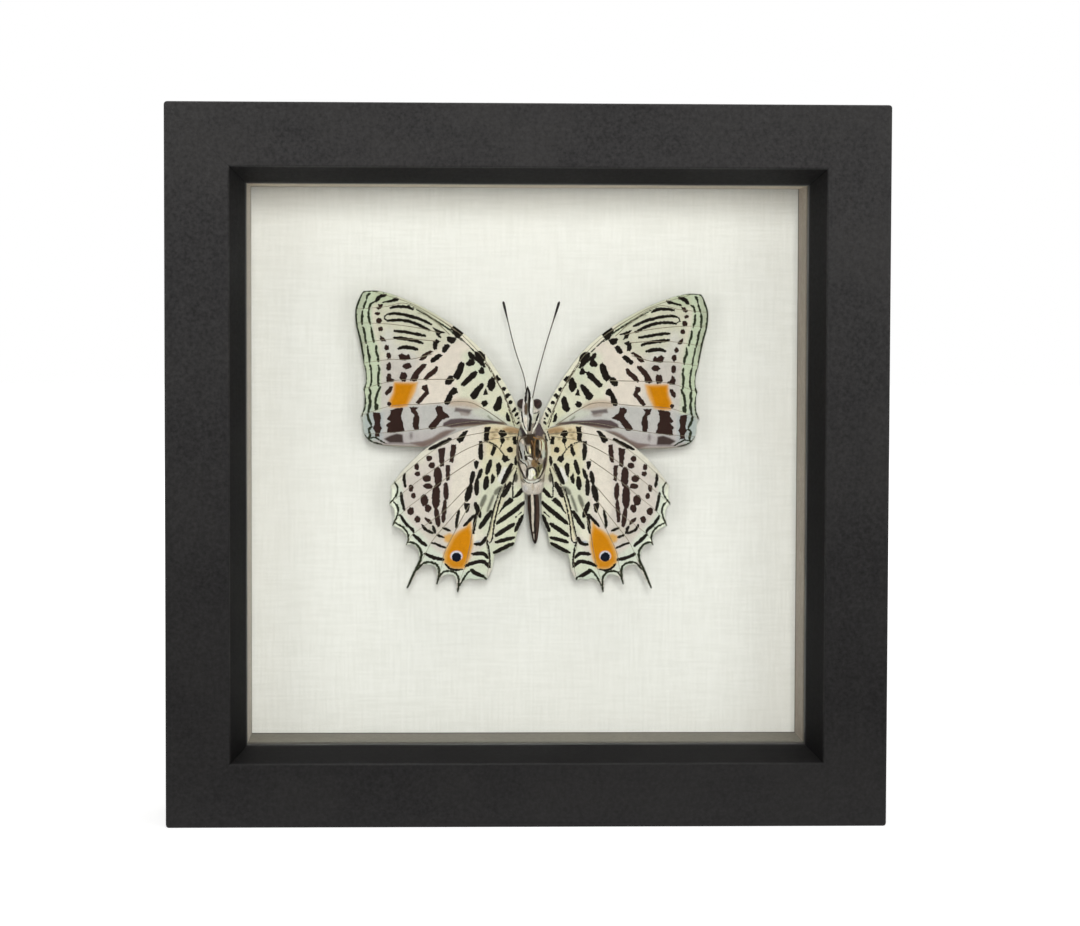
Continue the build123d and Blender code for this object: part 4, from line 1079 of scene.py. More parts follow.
def wing_lattice(edge):
    """The edge and an even lattice inside it, joined into triangles."""
    low, high = edge.min(0), edge.max(0)
    row_step = lattice_step * math.sqrt(3) / 2
    spots = []
    for number, row in enumerate(np.arange(low[1], high[1], row_step)):
        first = low[0] + (number % 2) * lattice_step / 2
        across = np.arange(first, high[0], lattice_step)
        spots.append(np.column_stack([across, np.full(len(across), row)]))
    spots = np.concatenate(spots)
    spots = spots[inside(spots, edge)]
    clear = line_distance(spots, np.vstack([edge, edge[:1]]))[0] > edge_clearance * lattice_step
    places = np.concatenate([edge, spots[clear]])
    made = geometry.delaunay_2d_cdt([Vector(place) for place in places.tolist()], [],
                                    [list(range(len(edge)))], 1, 1e-6)
    return np.array([tuple(place) for place in made[0]]), made[2]


def wing_relief(places, veins):
    """How far the wing stands forward of its flat place, in millimetres: waves and veins."""
    out, up = places.T
    waves = 0.16 * np.sin(0.23 * out + 0.12 * up + 0.6) + 0.1 * np.sin(0.41 * up - 0.17 * out)
    nearest = np.full(len(places), np.inf)
    for vein in veins:
        nearest = np.minimum(nearest, line_distance(places, smooth_line(vein, 0.6))[0])
    ridges = vein_ridge * np.exp(-(nearest / vein_spread) ** 2)
    return waves * np.clip(out / stiff_root, 0, 1) + ridges


wing_kinds = {
    "forewing": (forewing_edge, forewing_washes + forewing_smudges, forewing_marks,
                 forewing_veins, forewing_y),
    "hindwing": (hindwing_edge, hindwing_washes + hindwing_smudges, hindwing_marks,
                 hindwing_veins, hindwing_y),
}
flat_wings = {}              # each kind's places, faces and pattern
for kind, (edge, washes, marks, veins, depth) in wing_kinds.items():
    places, faces = wing_lattice(edge)
    flat_wings[kind] = (places, faces, paint(places, washes, marks))
    print(kind, "lattice:", len(places), "points")

# %% [markdown]
# ## Setting the wings
# The left wings were spread by hand and don't mirror the right ones exactly, so each wing has a
# stretch, a lean and a shift of its own. The flat lattice becomes a closed shell with Solidify.

# %% Place the wings
wing_sets = {
    "forewing_right": (1.0, 0.0, 0.0, 0.0), "forewing_left": (1.017, -0.031, 0.2, 0.013),
    "hindwing_right": (1.0, 0.0, 0.0, 0.0), "hindwing_left": (1.045, -0.02, -0.95, 0.0),
}


def in_case(flat, depth):
    """Drawn (out, up) places at a depth, as points of the case in metres."""
    return np.column_stack([specimen_x + flat[:, 0], depth, specimen_z + flat[:, 1]]) * MM


def set_out(places, name, depth):
    """The same for a place on a left or right wing, out from the body to its own side."""
    stretch, lean, shift, rise = wing_sets[name]
    out, up = places.T
    side = 1 if name.endswith("right") else -1
    across = side * (stretch * out + lean * up + shift)
    return in_case(np.column_stack([across, up + rise * out]), depth)


print("wings to set:", len(wing_sets))


# %% Meshes and pieces
def as_mesh(name, points, edges, faces):
    mesh = bpy.data.meshes.new(name)
    mesh.from_pydata(points.tolist(), edges, faces)
    return mesh


def store(layers, name, kind, values):
    """Keeps a number or a colour at each vertex, where materials and trees can read it."""
    key = "value" if kind == "FLOAT" else "color"
    layers.new(name, kind, "POINT").data.foreach_set(key, np.asarray(values, np.float32).ravel())


def set_pattern(mesh, pattern):
    """Stores the painted colours and the distance to the marks at each vertex."""
    store(mesh.color_attributes, "ground", "FLOAT_COLOR", pattern["ground"])
    store(mesh.color_attributes, "ink", "FLOAT_COLOR", pattern["ink"])
    store(mesh.attributes, "edge", "FLOAT", pattern["edge"])
    mesh.update()


def smooth_faces(mesh):
    mesh.polygons.foreach_set("use_smooth", [True] * len(mesh.polygons))
    mesh.update()


def as_piece(name, mesh, material, replaces=()):
    """A finished piece, riding on the case's body; what a tree made has its material already."""
    piece = bpy.data.objects.new(name, mesh)
    bpy.context.scene.collection.objects.link(piece)
    if material:
        mesh.materials.clear()
        mesh.materials.append(material)
    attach(piece, "case")
    if replaces:
        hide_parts(*replaces)


def plain_mesh(piece):
    """The evaluated object as a plain mesh, with its modifiers removed."""
    graph = bpy.context.evaluated_depsgraph_get()
    mesh = bpy.data.meshes.new_from_object(piece.evaluated_get(graph))
    piece.modifiers.clear()
    return mesh


def smooth_sides(mesh):
    """Smooth faces, apart from those of the thin rim."""
    normals = np.zeros(len(mesh.polygons) * 3, np.float32)
    mesh.polygons.foreach_get("normal", normals)
    level = np.abs(normals.reshape(-1, 3)[:, 1]) > 0.6
    mesh.polygons.foreach_set("use_smooth", level)


print("mesh helpers ready")


# %% Wing material
def inked(tree, ragged, softness):
    """How much of the marks' ink shows: the stored distance, cut at zero with a ragged edge."""
    edge = reckon(tree, "ADD", stored(tree, "edge", "Fac"), ragged)
    return between(tree, edge, -softness, softness, 1.0, 0.0)


wing_scales, tree, place = new_material("wing_scales")
ragged = between(tree, noise(tree, place, 2100.0, 4.0, 0.7), 0.28, 0.72, -0.17, 0.17, False)
cells = node(tree, "ShaderNodeTexVoronoi", {"Vector": place, "Scale": 7200.0})
speckle = between(tree, cells.outputs["Color"], 0.0, 1.0, 0.9, 1.08, False)
mottle = between(tree, noise(tree, place, 650.0, 4.0, 0.65), 0.3, 0.7, 0.93, 1.07, False)
ground = tinted(tree, stored(tree, "ground"), mottle)
tone = blend_colours(tree, inked(tree, ragged, 0.05), ground, stored(tree, "ink"))
roughness = between(tree, cells.outputs["Distance"], 0.0, 0.6, 0.66, 0.8)
relief = bumped(tree, cells.outputs["Distance"], 0.015 * MM, 0.5)
coat(tree, tinted(tree, tone, speckle), roughness, relief, 0.12)
print("wing material:", len(tree.nodes), "nodes")


# %% Build the four wings
def build_wing(name, places, faces, pattern, veins, depth):
    """One wing as a closed shell, replacing the rough one of the CAD model."""
    relief = wing_relief(places, veins)
    points = set_out(places, name, depth - relief + wing_thickness / 2)
    if name.endswith("right"):
        faces = [face[::-1] for face in faces]
    mesh = as_mesh(name + "_scaled", points, [], faces)
    set_pattern(mesh, pattern)
    shell = bpy.data.objects.new(name + "_shell", mesh)
    bpy.context.scene.collection.objects.link(shell)
    solidify = shell.modifiers.new("thickness", "SOLIDIFY")
    solidify.thickness = wing_thickness * MM
    solidify.offset = 0.0
    solid = plain_mesh(shell)
    bpy.data.objects.remove(shell)
    smooth_sides(solid)
    as_piece(name + "_scaled", solid, wing_scales, [name])
    print(name, len(solid.polygons), "faces")


wings = {}                   # each wing's edge, veins and depth, for the vein tubes and fringes
for side in ("left", "right"):
    for kind, (edge, washes, marks, veins, depth) in wing_kinds.items():
        name = kind + "_" + side
        wings[name] = (edge, veins, depth)
        build_wing(name, *flat_wings[kind], veins, depth)

# %% [markdown]
# ## Vein tubes by Geometry Nodes
# The veins are the struts of a wing: hollow tubes that run out from the root and get thinner
# towards the margin. Every vein is the same thing along another path, which is what Geometry
# Nodes are good at: the tree turns each path into a curve, sets its radius from a girth value
# stored along it, and sweeps a small ring along it. The antennas and legs use the same function.

# %% Make and run a geometry tree
def geometry_tree(name, numbers):
    """An empty geometry tree with named number inputs."""
    tree = bpy.data.node_groups.new(name, "GeometryNodeTree")
    tree.is_modifier = True
    tree.interface.new_socket("Geometry", in_out="INPUT", socket_type="NodeSocketGeometry")
    tree.interface.new_socket("Geometry", in_out="OUTPUT", socket_type="NodeSocketGeometry")
    for label, value in numbers.items():
        kind = "NodeSocketInt" if isinstance(value, int) else "NodeSocketFloat"
        socket = tree.interface.new_socket(label, in_out="INPUT", socket_type=kind)
        socket.default_value = value
    return tree, node(tree, "NodeGroupInput").outputs


def close_tree(tree, geometry_socket, material):
    """Ends a tree in plain geometry with its material."""
    real = node(tree, "GeometryNodeRealizeInstances", {"Geometry": geometry_socket})
    painted = node(tree, "GeometryNodeSetMaterial", {"Geometry": real.outputs[0], "Material": material})
    end = node(tree, "NodeGroupOutput")
    tree.links.new(painted.outputs[0], end.inputs[0])


def run_tree(name, mesh, tree, values):
    """Runs a tree on a mesh and returns the result as a plain mesh."""
    carrier = bpy.data.objects.new(name, mesh)
    bpy.context.scene.collection.objects.link(carrier)
    modifier = carrier.modifiers.new("tree", "NODES")
    modifier.node_group = tree
    for item in tree.interface.items_tree:
        if item.item_type == "SOCKET" and item.in_out == "INPUT" and item.name in values:
            modifier[item.identifier] = values[item.name]
    result = plain_mesh(carrier)
    bpy.data.objects.remove(carrier)
    return result


print("geometry tree helpers ready")


# %% Vein tree
def sweep_tree(name, numbers, radius_of, sides, material):
    """A tree that sweeps a ring along every path; radius_of turns the stored girth into one."""
    tree, inputs = geometry_tree(name, numbers)
    girth = node(tree, "GeometryNodeInputNamedAttribute", {"Name": "girth"}, data_type="FLOAT")
    radius = radius_of(tree, girth.outputs[0], inputs)
    paths = node(tree, "GeometryNodeMeshToCurve", {"Mesh": inputs["Geometry"]})
    sized = node(tree, "GeometryNodeSetCurveRadius", {"Curve": paths.outputs[0], "Radius": radius})
    ring = node(tree, "GeometryNodeCurvePrimitiveCircle", {"Resolution": sides, "Radius": 1.0})
    swept = node(tree, "GeometryNodeCurveToMesh", {
        "Curve": sized.outputs[0], "Profile Curve": ring.outputs[0], "Scale": radius,
        "Fill Caps": True})
    close_tree(tree, swept.outputs[0], material)
    print(name + ":", len(tree.nodes), "nodes")
    return tree


def vein_radius(tree, girth, inputs):
    """From the root's radius to the tip's, as the girth goes from 0 to 1."""
    span = {0: girth, 3: inputs["Root Radius"], 4: inputs["Tip Radius"]}
    return node(tree, "ShaderNodeMapRange", span).outputs[0]


vein_brown, tree, place = new_material("vein_brown")
fleck = noise(tree, place, 2600.0, 3.0)
tone = blend_colours(tree, between(tree, fleck, 0.3, 0.7), linear(92, 84, 66), linear(142, 132, 108))
coat(tree, tone, 0.6, bumped(tree, fleck, 0.01 * MM, 0.5))
vein_radii = {"Root Radius": 0.1 * MM, "Tip Radius": 0.045 * MM}
vein_tree = sweep_tree("vein_tubes", vein_radii, vein_radius, 6, vein_brown)


# %% Sweep the veins
def path_mesh(name, lines, girths):
    """Loose edges along several lines, with a girth stored at each point."""
    edges, first = [], 0
    for line in lines:
        last = first + len(line) - 1
        edges += [(number, number + 1) for number in range(first, last)]
        first = last + 1
    mesh = as_mesh(name, np.concatenate(lines), edges, [])
    store(mesh.attributes, "girth", "FLOAT", np.concatenate(girths))
    return mesh


def vein_path(name, vein, veins, depth):
    """A vein's line, sunk a little into the front of its wing, and how far along it each point is."""
    places = smooth_line(vein, 0.5)
    sunk = depth - wing_relief(places, veins) + 0.02
    return set_out(places, name, sunk), np.linspace(0, 1, len(places))


for name, (edge, veins, depth) in wings.items():
    paths = [vein_path(name, vein, veins, depth) for vein in veins]
    loose = path_mesh(name + "_vein_paths", *zip(*paths))
    tubes = run_tree(name + "_vein_paths", loose, vein_tree, vein_radii)
    smooth_faces(tubes)
    as_piece(name + "_veins", tubes, None)
    print(name, "veins:", len(tubes.polygons), "faces")

# %% [markdown]
# ## Soft shapes from rings
# The thorax, head and abdomen and the small parts at the mouth are all soft spindles. Each is
# given as level ovals (out, up, half width, half depth, forward), and a smooth curve through
# them fills in the rest. Their colours are painted in the same way as the wings'.

# %% Ringed shapes
def ring_shape(name, rings, columns, step, relief=None):
    """A closed spindle through level ovals, and each vertex's (out, up)."""
    line = smooth_line(rings, step)
    middle_out, level, half_width, half_depth, ahead = (line[:, [number]] for number in range(5))
    turn = np.linspace(0, 2 * math.pi, columns, endpoint=False)
    across, deep = np.cos(turn), np.sin(turn)
    out = middle_out + half_width * across
    up = np.repeat(level, columns, axis=1)
    raised = relief(out, up) * np.clip(deep, 0, 1) if relief else 0.0
    forward = ahead + (half_depth + raised) * deep
    caps = line[[0, -1]]
    flat = np.vstack([np.column_stack([out.ravel(), up.ravel()]), caps[:, :2]])
    depth = body_y - np.append(forward.ravel(), caps[:, 4])
    last = (len(line) - 1) * columns
    first_cap, last_cap = len(line) * columns, len(line) * columns + 1
    faces = []
    for number in range(columns):
        beside = (number + 1) % columns
        faces.append((first_cap, number, beside))
        faces.append((last_cap, last + beside, last + number))
        for row in range(0, last, columns):
            below = row + columns
            faces.append((row + number, below + number, below + beside, row + beside))
    return as_mesh(name, in_case(flat, depth), [], faces), flat


print("ringed shapes ready")


# %% Body material
body_scales, tree, place = new_material("body_scales")
strands = noise(tree, stretched(tree, place, (5200.0, 5200.0, 900.0)), 1.0, 3.0, 0.6)
ragged = between(tree, strands, 0.25, 0.75, -0.1, 0.1, False)
tone = blend_colours(tree, inked(tree, ragged, 0.06), stored(tree, "ground"), stored(tree, "ink"))
tone = tinted(tree, tone, between(tree, strands, 0.25, 0.75, 0.6, 1.3, False))
coat(tree, tone, between(tree, strands, 0.3, 0.7, 0.6, 0.85), bumped(tree, strands, 0.04 * MM, 0.6), 0.2)
print("body material:", len(tree.nodes), "nodes")

# %% [markdown]
# ## Thorax
# Under a lens the underside of the thorax is a patchwork: a dark plate with a gold rim where the
# legs join, tufts of grey and cream hair on both sides, and dark seams between them. The seams
# and the plate are sunk a little, and the rim stands up.

# %% Thorax rings and colours
ink_seam = linear(30, 24, 16)
ink_brown = linear(60, 44, 28)
ink_grey = linear(84, 82, 74)
ink_gold = linear(140, 106, 56)
thorax_rings = [
    (-0.3, 5.6, 0.5, 0.5, 0.0), (-0.3, 5.0, 1.8, 1.5, 0.0), (-0.2, 3.6, 2.5, 2.2, 0.0),
    (-0.1, 2.0, 3.0, 2.8, 0.0), (0.0, 0.0, 3.35, 3.2, 0.0), (0.05, -2.2, 3.4, 3.3, 0.0),
    (0.1, -4.4, 3.15, 3.1, 0.0), (0.15, -6.2, 2.7, 2.7, 0.0), (0.15, -7.6, 2.55, 2.4, 0.0),
    (0.15, -9.0, 2.35, 2.1, 0.0), (0.2, -10.0, 1.95, 1.7, 0.0), (0.2, -10.8, 1.0, 0.9, 0.0),
]
thorax_washes = [
    (linear(152, 142, 128), 1.0, 1.0, []),
    (linear(88, 76, 78), 0.35, 1.0, [[(0.9, 4.8), (2.2, 4.6), (2.6, 2.6), (2.2, 1.9), (0.6, 2.0)]]),
    (linear(64, 56, 60), 0.3, 1.0, [[(-2.8, 4.2), (-1.8, 3.4), (-1.1, 2.4), (-1.3, 1.9), (-2.3, 1.9)]]),
    (linear(154, 158, 144), 0.3, 1.0, [[(-3.4, 3.8), (-2.6, 3.2), (-2.4, 2.4), (-3.2, 2.1)]]),
    (linear(54, 44, 34), 0.3, 1.0, [[(-1.9, 2.4), (0.6, 2.6), (0.4, 0.7), (-0.4, 0.3), (-1.3, 0.3),
                                     (-1.7, 1.0)]]),
    (linear(62, 40, 14), 0.3, 1.0, [[(-0.3, 0.8), (0.5, 1.0), (0.5, -2.9), (-0.1, -2.6), (-0.3, -0.8)]]),
    (linear(60, 49, 38), 0.2, 1.0, [[(0.7, 1.3), (1.6, 1.4), (1.7, 0.4), (1.75, -0.8), (2.0, -2.4),
                                     (1.2, -2.6), (0.6, -2.2), (0.6, 0.4)]]),
    (linear(184, 183, 178), 0.25, 1.0, [[(-2.8, 0.7), (-2.0, 0.3), (-1.7, -0.5), (-1.8, -1.5), (-1.5, -2.9),
                                         (-2.1, -2.9), (-2.3, -1.8), (-2.6, -0.8)]]),
    (linear(216, 205, 190), 0.15, 1.0, [(0.45, [(-2.25, 1.35), (-2.0, 0.6)])]),
    (linear(206, 190, 164), 0.15, 1.0, [(0.4, [(-2.9, 1.9), (-2.6, 1.2)]),
                                        (0.32, [(2.45, 2.3), (2.75, 1.7)])]),
    (linear(208, 202, 182), 0.2, 1.0, [[(1.6, 1.3), (2.3, 1.25), (2.7, 0.1), (2.8, -1.2), (2.55, -2.6),
                                        (2.3, -2.9), (2.05, -1.6), (1.65, -0.6), (1.65, 0.6)]]),
    (linear(218, 220, 186), 0.15, 1.0, [(0.4, [(2.3, 1.0), (2.35, -0.6)])]),
    (linear(196, 203, 190), 0.15, 1.0, [(0.35, [(2.45, -1.2), (2.5, -2.6)])]),
    (linear(240, 224, 170), 0.1, 1.0, [(0.4, [(-0.5, -0.7), (-0.42, -1.4)])]),
    (linear(212, 202, 160), 0.1, 1.0, [(0.2, [(-0.72, -0.1), (-0.66, -0.6)])]),
    (linear(208, 208, 186), 0.1, 1.0, [(0.28, [(-1.45, -1.2), (-1.2, -1.8), (-0.75, -2.1)])]),
    (linear(220, 215, 208), 0.1, 1.0, [(0.3, [(-0.9, -2.45), (-0.5, -2.75), (-0.1, -2.85)])]),
    (linear(194, 194, 184), 0.1, 1.0, [(0.26, [(-2.6, -2.8), (-2.0, -3.35), (-1.4, -3.6), (-1.1, -4.2)]),
                                       (0.22, [(-1.0, -3.0), (-0.6, -3.4), (-0.5, -4.0)])]),
    (linear(218, 208, 194), 0.15, 1.0, [[(-2.45, -4.1), (-1.8, -4.0), (-1.45, -4.6), (-1.4, -5.6),
                                         (-1.5, -6.7), (-1.8, -6.6), (-2.15, -5.6)]]),
    (linear(240, 233, 226), 0.15, 1.0, [(0.32, [(-1.75, -5.6), (-1.65, -6.5)])]),
    (linear(238, 235, 222), 0.12, 1.0, [[(-0.85, -5.5), (-0.4, -5.05), (0.0, -4.9), (0.35, -5.2),
                                         (0.65, -5.9), (0.4, -6.4), (0.05, -6.5), (-0.05, -6.9),
                                         (-0.3, -7.2), (-0.8, -7.1)]]),
    (linear(232, 226, 188), 0.12, 1.0, [(0.32, [(0.25, -5.4), (0.4, -6.0)])]),
    (linear(202, 208, 160), 0.12, 1.0, [(0.32, [(0.4, -6.6), (0.65, -7.0)])]),
    (linear(112, 106, 68), 0.3, 1.0, [[(0.9, -4.2), (2.2, -4.0), (2.1, -5.2), (1.4, -6.8), (0.9, -6.8),
                                       (0.8, -5.4)]]),
    (linear(124, 98, 64), 0.25, 1.0, [[(0.1, -3.0), (1.1, -3.1), (1.4, -3.4), (0.9, -4.4), (0.2, -4.6),
                                       (-0.2, -3.8)]]),
    (linear(206, 196, 176), 0.15, 1.0, [(0.42, [(3.35, -1.4), (3.3, -3.4), (2.95, -5.0), (2.4, -6.3),
                                                (1.95, -7.1)])]),
    (linear(212, 206, 180), 0.1, 1.0, [(0.22, [(2.2, -4.9), (1.85, -5.9), (1.4, -6.8)])]),
    (linear(196, 188, 162), 0.15, 1.0, [(0.4, [(-3.3, -2.6), (-3.05, -4.6), (-2.6, -6.0), (-2.1, -7.0)])]),
    (linear(92, 68, 48), 0.2, 1.0, [(0.36, [(2.95, 0.5), (3.0, -0.9)])]),
    (linear(94, 102, 80), 0.2, 1.0, [(0.4, [(3.1, -1.3), (3.05, -2.3)])]),
    (linear(74, 62, 58), 0.2, 1.0, [[(2.7, -2.6), (3.15, -2.6), (2.95, -4.4), (2.5, -4.8), (2.4, -3.6)]]),
    (linear(214, 205, 194), 0.4, 1.0, [[(-3.0, -7.9), (3.0, -7.9), (2.6, -11.0), (-2.6, -11.0)]]),
    (linear(214, 210, 208), 0.4, 1.0, [(0.9, [(-1.6, -8.9), (-1.5, -9.6)])]),
    (linear(200, 186, 172), 0.4, 1.0, [(0.7, [(1.3, -8.9), (1.2, -9.8)])]),
    (linear(182, 168, 150), 0.3, 1.0, [(0.4, [(0.1, -8.3), (0.2, -9.5)])]),
    (linear(218, 218, 208), 0.12, 1.0, [(0.3, [(-1.7, -7.2), (-0.9, -7.7), (0.5, -7.75), (1.4, -7.3)])]),
]
print("thorax washes:", len(thorax_washes))

# %% Seams and gold rim
gold_rim = [(1.5, 1.6), (0.95, 1.55), (0.6, 1.0), (0.5, -0.4), (0.5, -1.8), (0.7, -2.5), (1.2, -2.7),
            (1.6, -2.4)]
thorax_marks = [
    (ink_seam, [
        (0.5, [(1.1, 1.25), (1.1, 0.45)]), (0.5, [(1.0, -0.5), (1.0, -1.9)]),
        (0.3, [(1.4, -0.8), (1.75, -1.5), (1.95, -2.6)]),
        (0.28, [(-2.85, -0.1), (-2.65, -0.9), (-2.4, -1.9), (-2.2, -2.7)]),
        (0.2, [(-3.1, -0.9), (-2.9, -2.1), (-2.7, -3.0), (-2.2, -3.5), (-1.6, -3.9), (-1.2, -4.4),
               (-1.1, -4.9)]),
        (0.2, [(-3.15, -3.4), (-2.8, -4.3), (-2.5, -5.2), (-2.0, -6.2), (-1.7, -6.9), (-1.3, -7.2)]),
        (0.24, [(-1.4, 0.1), (-1.2, -1.1), (-0.9, -1.7)]), (0.2, [(-1.75, -1.1), (-1.62, -1.8)]),
        (0.22, [(-0.95, -2.15), (-0.1, -2.25)]), (0.42, [(-1.45, -2.2), (-1.3, -3.0)]),
        (0.22, [(-0.2, -0.1), (-0.15, -1.2), (0.15, -2.6)]),
        (0.38, [(-1.1, -5.0), (-1.1, -6.8)]),
        (0.22, [(-1.1, -5.05), (-0.4, -4.75), (0.1, -4.6), (0.6, -4.95), (0.95, -5.5), (1.0, -6.5)]),
        (0.24, [(1.3, -4.5), (1.5, -5.7)]),
        (0.26, [(2.85, -3.4), (2.65, -4.6), (2.2, -5.8), (1.7, -6.7), (1.2, -7.1)]),
        (0.3, [(1.3, -3.7), (1.7, -3.85)]), (0.24, [(2.8, 1.9), (3.1, 1.0), (3.25, 0.1)]),
        (0.2, [(-2.9, 3.2), (-3.1, 1.8), (-3.2, 0.4)]),
    ]),
    (ink_brown, [(0.26, [(0.28, 0.6), (0.24, -1.0), (0.25, -2.9)]), (0.4, [(-0.9, 1.9), (-0.7, 0.7)])]),
    (ink_gold, [(0.13, gold_rim), (0.12, [(1.3, 1.65), (2.1, 1.4), (2.5, 0.9)])]),
    (ink_grey, [
        (0.17, [(-1.9, -7.2), (-1.5, -7.6), (-1.0, -8.0), (-0.2, -8.05)]),
        (0.17, [(0.3, -8.1), (0.9, -7.9), (1.5, -7.7), (2.0, -7.2)]),
        (0.12, [(-2.1, -7.5), (-1.9, -7.9), (-1.5, -8.0)]),
    ]),
]
print("thorax marks:", sum(len(marks) for ink, marks in thorax_marks))

# %% Sculpt the thorax
rim_height, seam_depth, lump_height = 0.12, 0.12, 0.06


def thorax_relief(out, up):
    """Seams sunk and the rim of the plate raised, in millimetres."""
    places = np.column_stack([out.ravel(), up.ravel()])
    edge = paint_marks(places, thorax_marks)[0]
    off_rim = line_distance(places, smooth_line(gold_rim))[0]
    rim = rim_height * np.exp(-(off_rim / 0.14) ** 2)
    seams = seam_depth * np.clip(0.4 - edge, 0, 0.5)
    lumps = lump_height * np.sin(2.3 * places[:, 0] + 0.4) * np.sin(1.7 * places[:, 1])
    return (rim - seams + lumps).reshape(out.shape)


def body_piece(name, rings, washes, marks, replaces, step=0.16, columns=96, relief=None):
    """A painted spindle as a finished piece."""
    mesh, flat = ring_shape(name, rings, columns, step, relief)
    set_pattern(mesh, paint(flat, washes, marks))
    smooth_faces(mesh)
    as_piece(name, mesh, body_scales, replaces)
    print(name, len(mesh.polygons), "faces")


body_piece("thorax_sculpted", thorax_rings, thorax_washes, thorax_marks, ["thorax"], 0.09, 220,
           thorax_relief)

# %% [markdown]
# ## Head, palps and abdomen
# The two palps stand side by side in front of the head, black at their edges, and the small
# forelegs are folded against it like white leaves with a black stripe. The abdomen is dark
# brown with a pale line down its middle and seven shallow rings.

# %% Head
head_rings = [
    (-0.55, 10.4, 0.2, 0.2, 0.0), (-0.55, 10.0, 0.8, 0.9, 0.0), (-0.5, 9.2, 1.1, 1.4, 0.0),
    (-0.5, 8.3, 1.3, 1.6, 0.0), (-0.4, 7.5, 2.1, 1.6, 0.0), (-0.4, 6.6, 2.2, 1.65, 0.0),
    (-0.4, 5.6, 2.0, 1.7, 0.0), (-0.4, 4.6, 1.8, 1.7, 0.0), (-0.4, 3.8, 1.2, 1.3, 0.0),
    (-0.4, 3.2, 0.5, 0.6, 0.0),
]
head_washes = [
    (linear(206, 200, 184), 0.6, 1.0, []),
    (linear(222, 212, 202), 0.15, 1.0, [(0.34, [(0.4, 7.5), (1.2, 7.55), (1.8, 7.6)])]),
    (linear(220, 218, 198), 0.2, 1.0, [[(0.1, 6.9), (1.1, 6.9), (0.7, 5.2), (0.1, 4.0)]]),
    (linear(136, 134, 120), 0.3, 1.0, [(0.5, [(-2.5, 6.2), (-2.4, 4.6)]),
                                       (0.4, [(1.7, 6.4), (1.6, 4.8)])]),
]
head_marks = [(ink_grey, [(0.16, [(0.3, 6.95), (0.9, 7.05), (1.5, 7.35)])])]
body_piece("head_sculpted", head_rings, head_washes, head_marks, ["head"])

# %% Abdomen
abdomen_rings = [
    (0.2, -8.2, 0.9, 0.9, 0.0), (0.22, -9.2, 1.15, 1.2, 0.0), (0.3, -11.0, 1.22, 1.25, 0.0),
    (0.45, -14.0, 1.26, 1.3, 0.0), (0.6, -17.0, 1.06, 1.1, 0.0), (0.68, -19.2, 0.76, 0.8, 0.0),
    (0.72, -20.6, 0.48, 0.5, 0.0), (0.75, -21.3, 0.12, 0.15, 0.0),
]
abdomen_washes = [
    (linear(64, 46, 38), 0.6, 1.0, []),
    (linear(86, 70, 60), 0.4, 0.8, [(0.4, [(1.5, -11.0), (1.65, -14.5), (1.3, -19.0)])]),
    (linear(206, 196, 180), 0.12, 1.0, [(0.5, [(0.0, -10.3), (0.1, -12.0), (0.25, -14.0), (0.2, -16.0),
                                             (0.3, -18.4)]), (0.26, [(0.45, -19.2), (0.55, -20.2)])]),
]
abdomen_marks = [(linear(30, 22, 18), [
    (0.24, [(-0.45, -10.4), (-0.35, -14.0), (-0.1, -17.6), (0.25, -19.8), (0.6, -21.2)]),
    (0.34, [(0.55, -10.3), (0.7, -14.0), (0.65, -17.0), (0.75, -19.8), (0.8, -21.2)]),
])]
segment_length = 1.95


def abdomen_relief(_, up):
    """Shallow rings, one to a segment."""
    return 0.05 * np.cos(2 * math.pi * (up + 7.8) / segment_length)


body_piece("abdomen_ringed", abdomen_rings, abdomen_washes, abdomen_marks, ["abdomen"], 0.12, 120,
           abdomen_relief)

# %% Palps and forelegs
palp_rings = {
    "left": [(-1.15, 3.2, 0.1, 0.1, 2.0), (-1.4, 4.4, 0.34, 0.34, 2.1), (-1.5, 5.8, 0.48, 0.42, 2.2),
             (-1.58, 7.2, 0.56, 0.45, 2.25), (-1.58, 8.6, 0.58, 0.45, 2.3), (-1.5, 9.8, 0.52, 0.42, 2.3),
             (-1.36, 10.9, 0.38, 0.36, 2.25), (-1.18, 12.0, 0.2, 0.22, 2.15),
             (-1.06, 12.85, 0.04, 0.05, 2.1)],
    "right": [(-0.5, 2.4, 0.1, 0.1, 2.1), (-0.56, 3.4, 0.3, 0.3, 2.2), (-0.52, 4.6, 0.4, 0.38, 2.3),
              (-0.42, 6.0, 0.5, 0.42, 2.35), (-0.36, 7.4, 0.56, 0.45, 2.4), (-0.36, 8.8, 0.56, 0.45, 2.4),
              (-0.42, 10.0, 0.5, 0.42, 2.35), (-0.6, 11.1, 0.36, 0.34, 2.3), (-0.85, 12.1, 0.19, 0.2, 2.2),
              (-1.02, 12.9, 0.04, 0.05, 2.1)],
}
palp_washes = [
    (linear(226, 224, 218), 0.4, 1.0, []),
    (linear(226, 214, 210), 0.2, 1.0, [(0.3, [(-1.95, 9.8), (-2.0, 7.2)])]),
    (linear(176, 171, 166), 0.15, 1.0, [(0.22, [(-1.12, 11.6), (-1.2, 9.7)])]),
    (linear(92, 74, 54), 0.2, 1.0, [(0.5, [(-1.34, 9.1), (-1.36, 7.8), (-1.34, 6.8)])]),
    (linear(232, 220, 204), 0.2, 1.0, [(0.5, [(-1.5, 6.1), (-1.4, 4.2)])]),
    (linear(168, 172, 162), 0.15, 1.0, [(0.16, [(0.2, 9.4), (0.2, 7.2)])]),
]
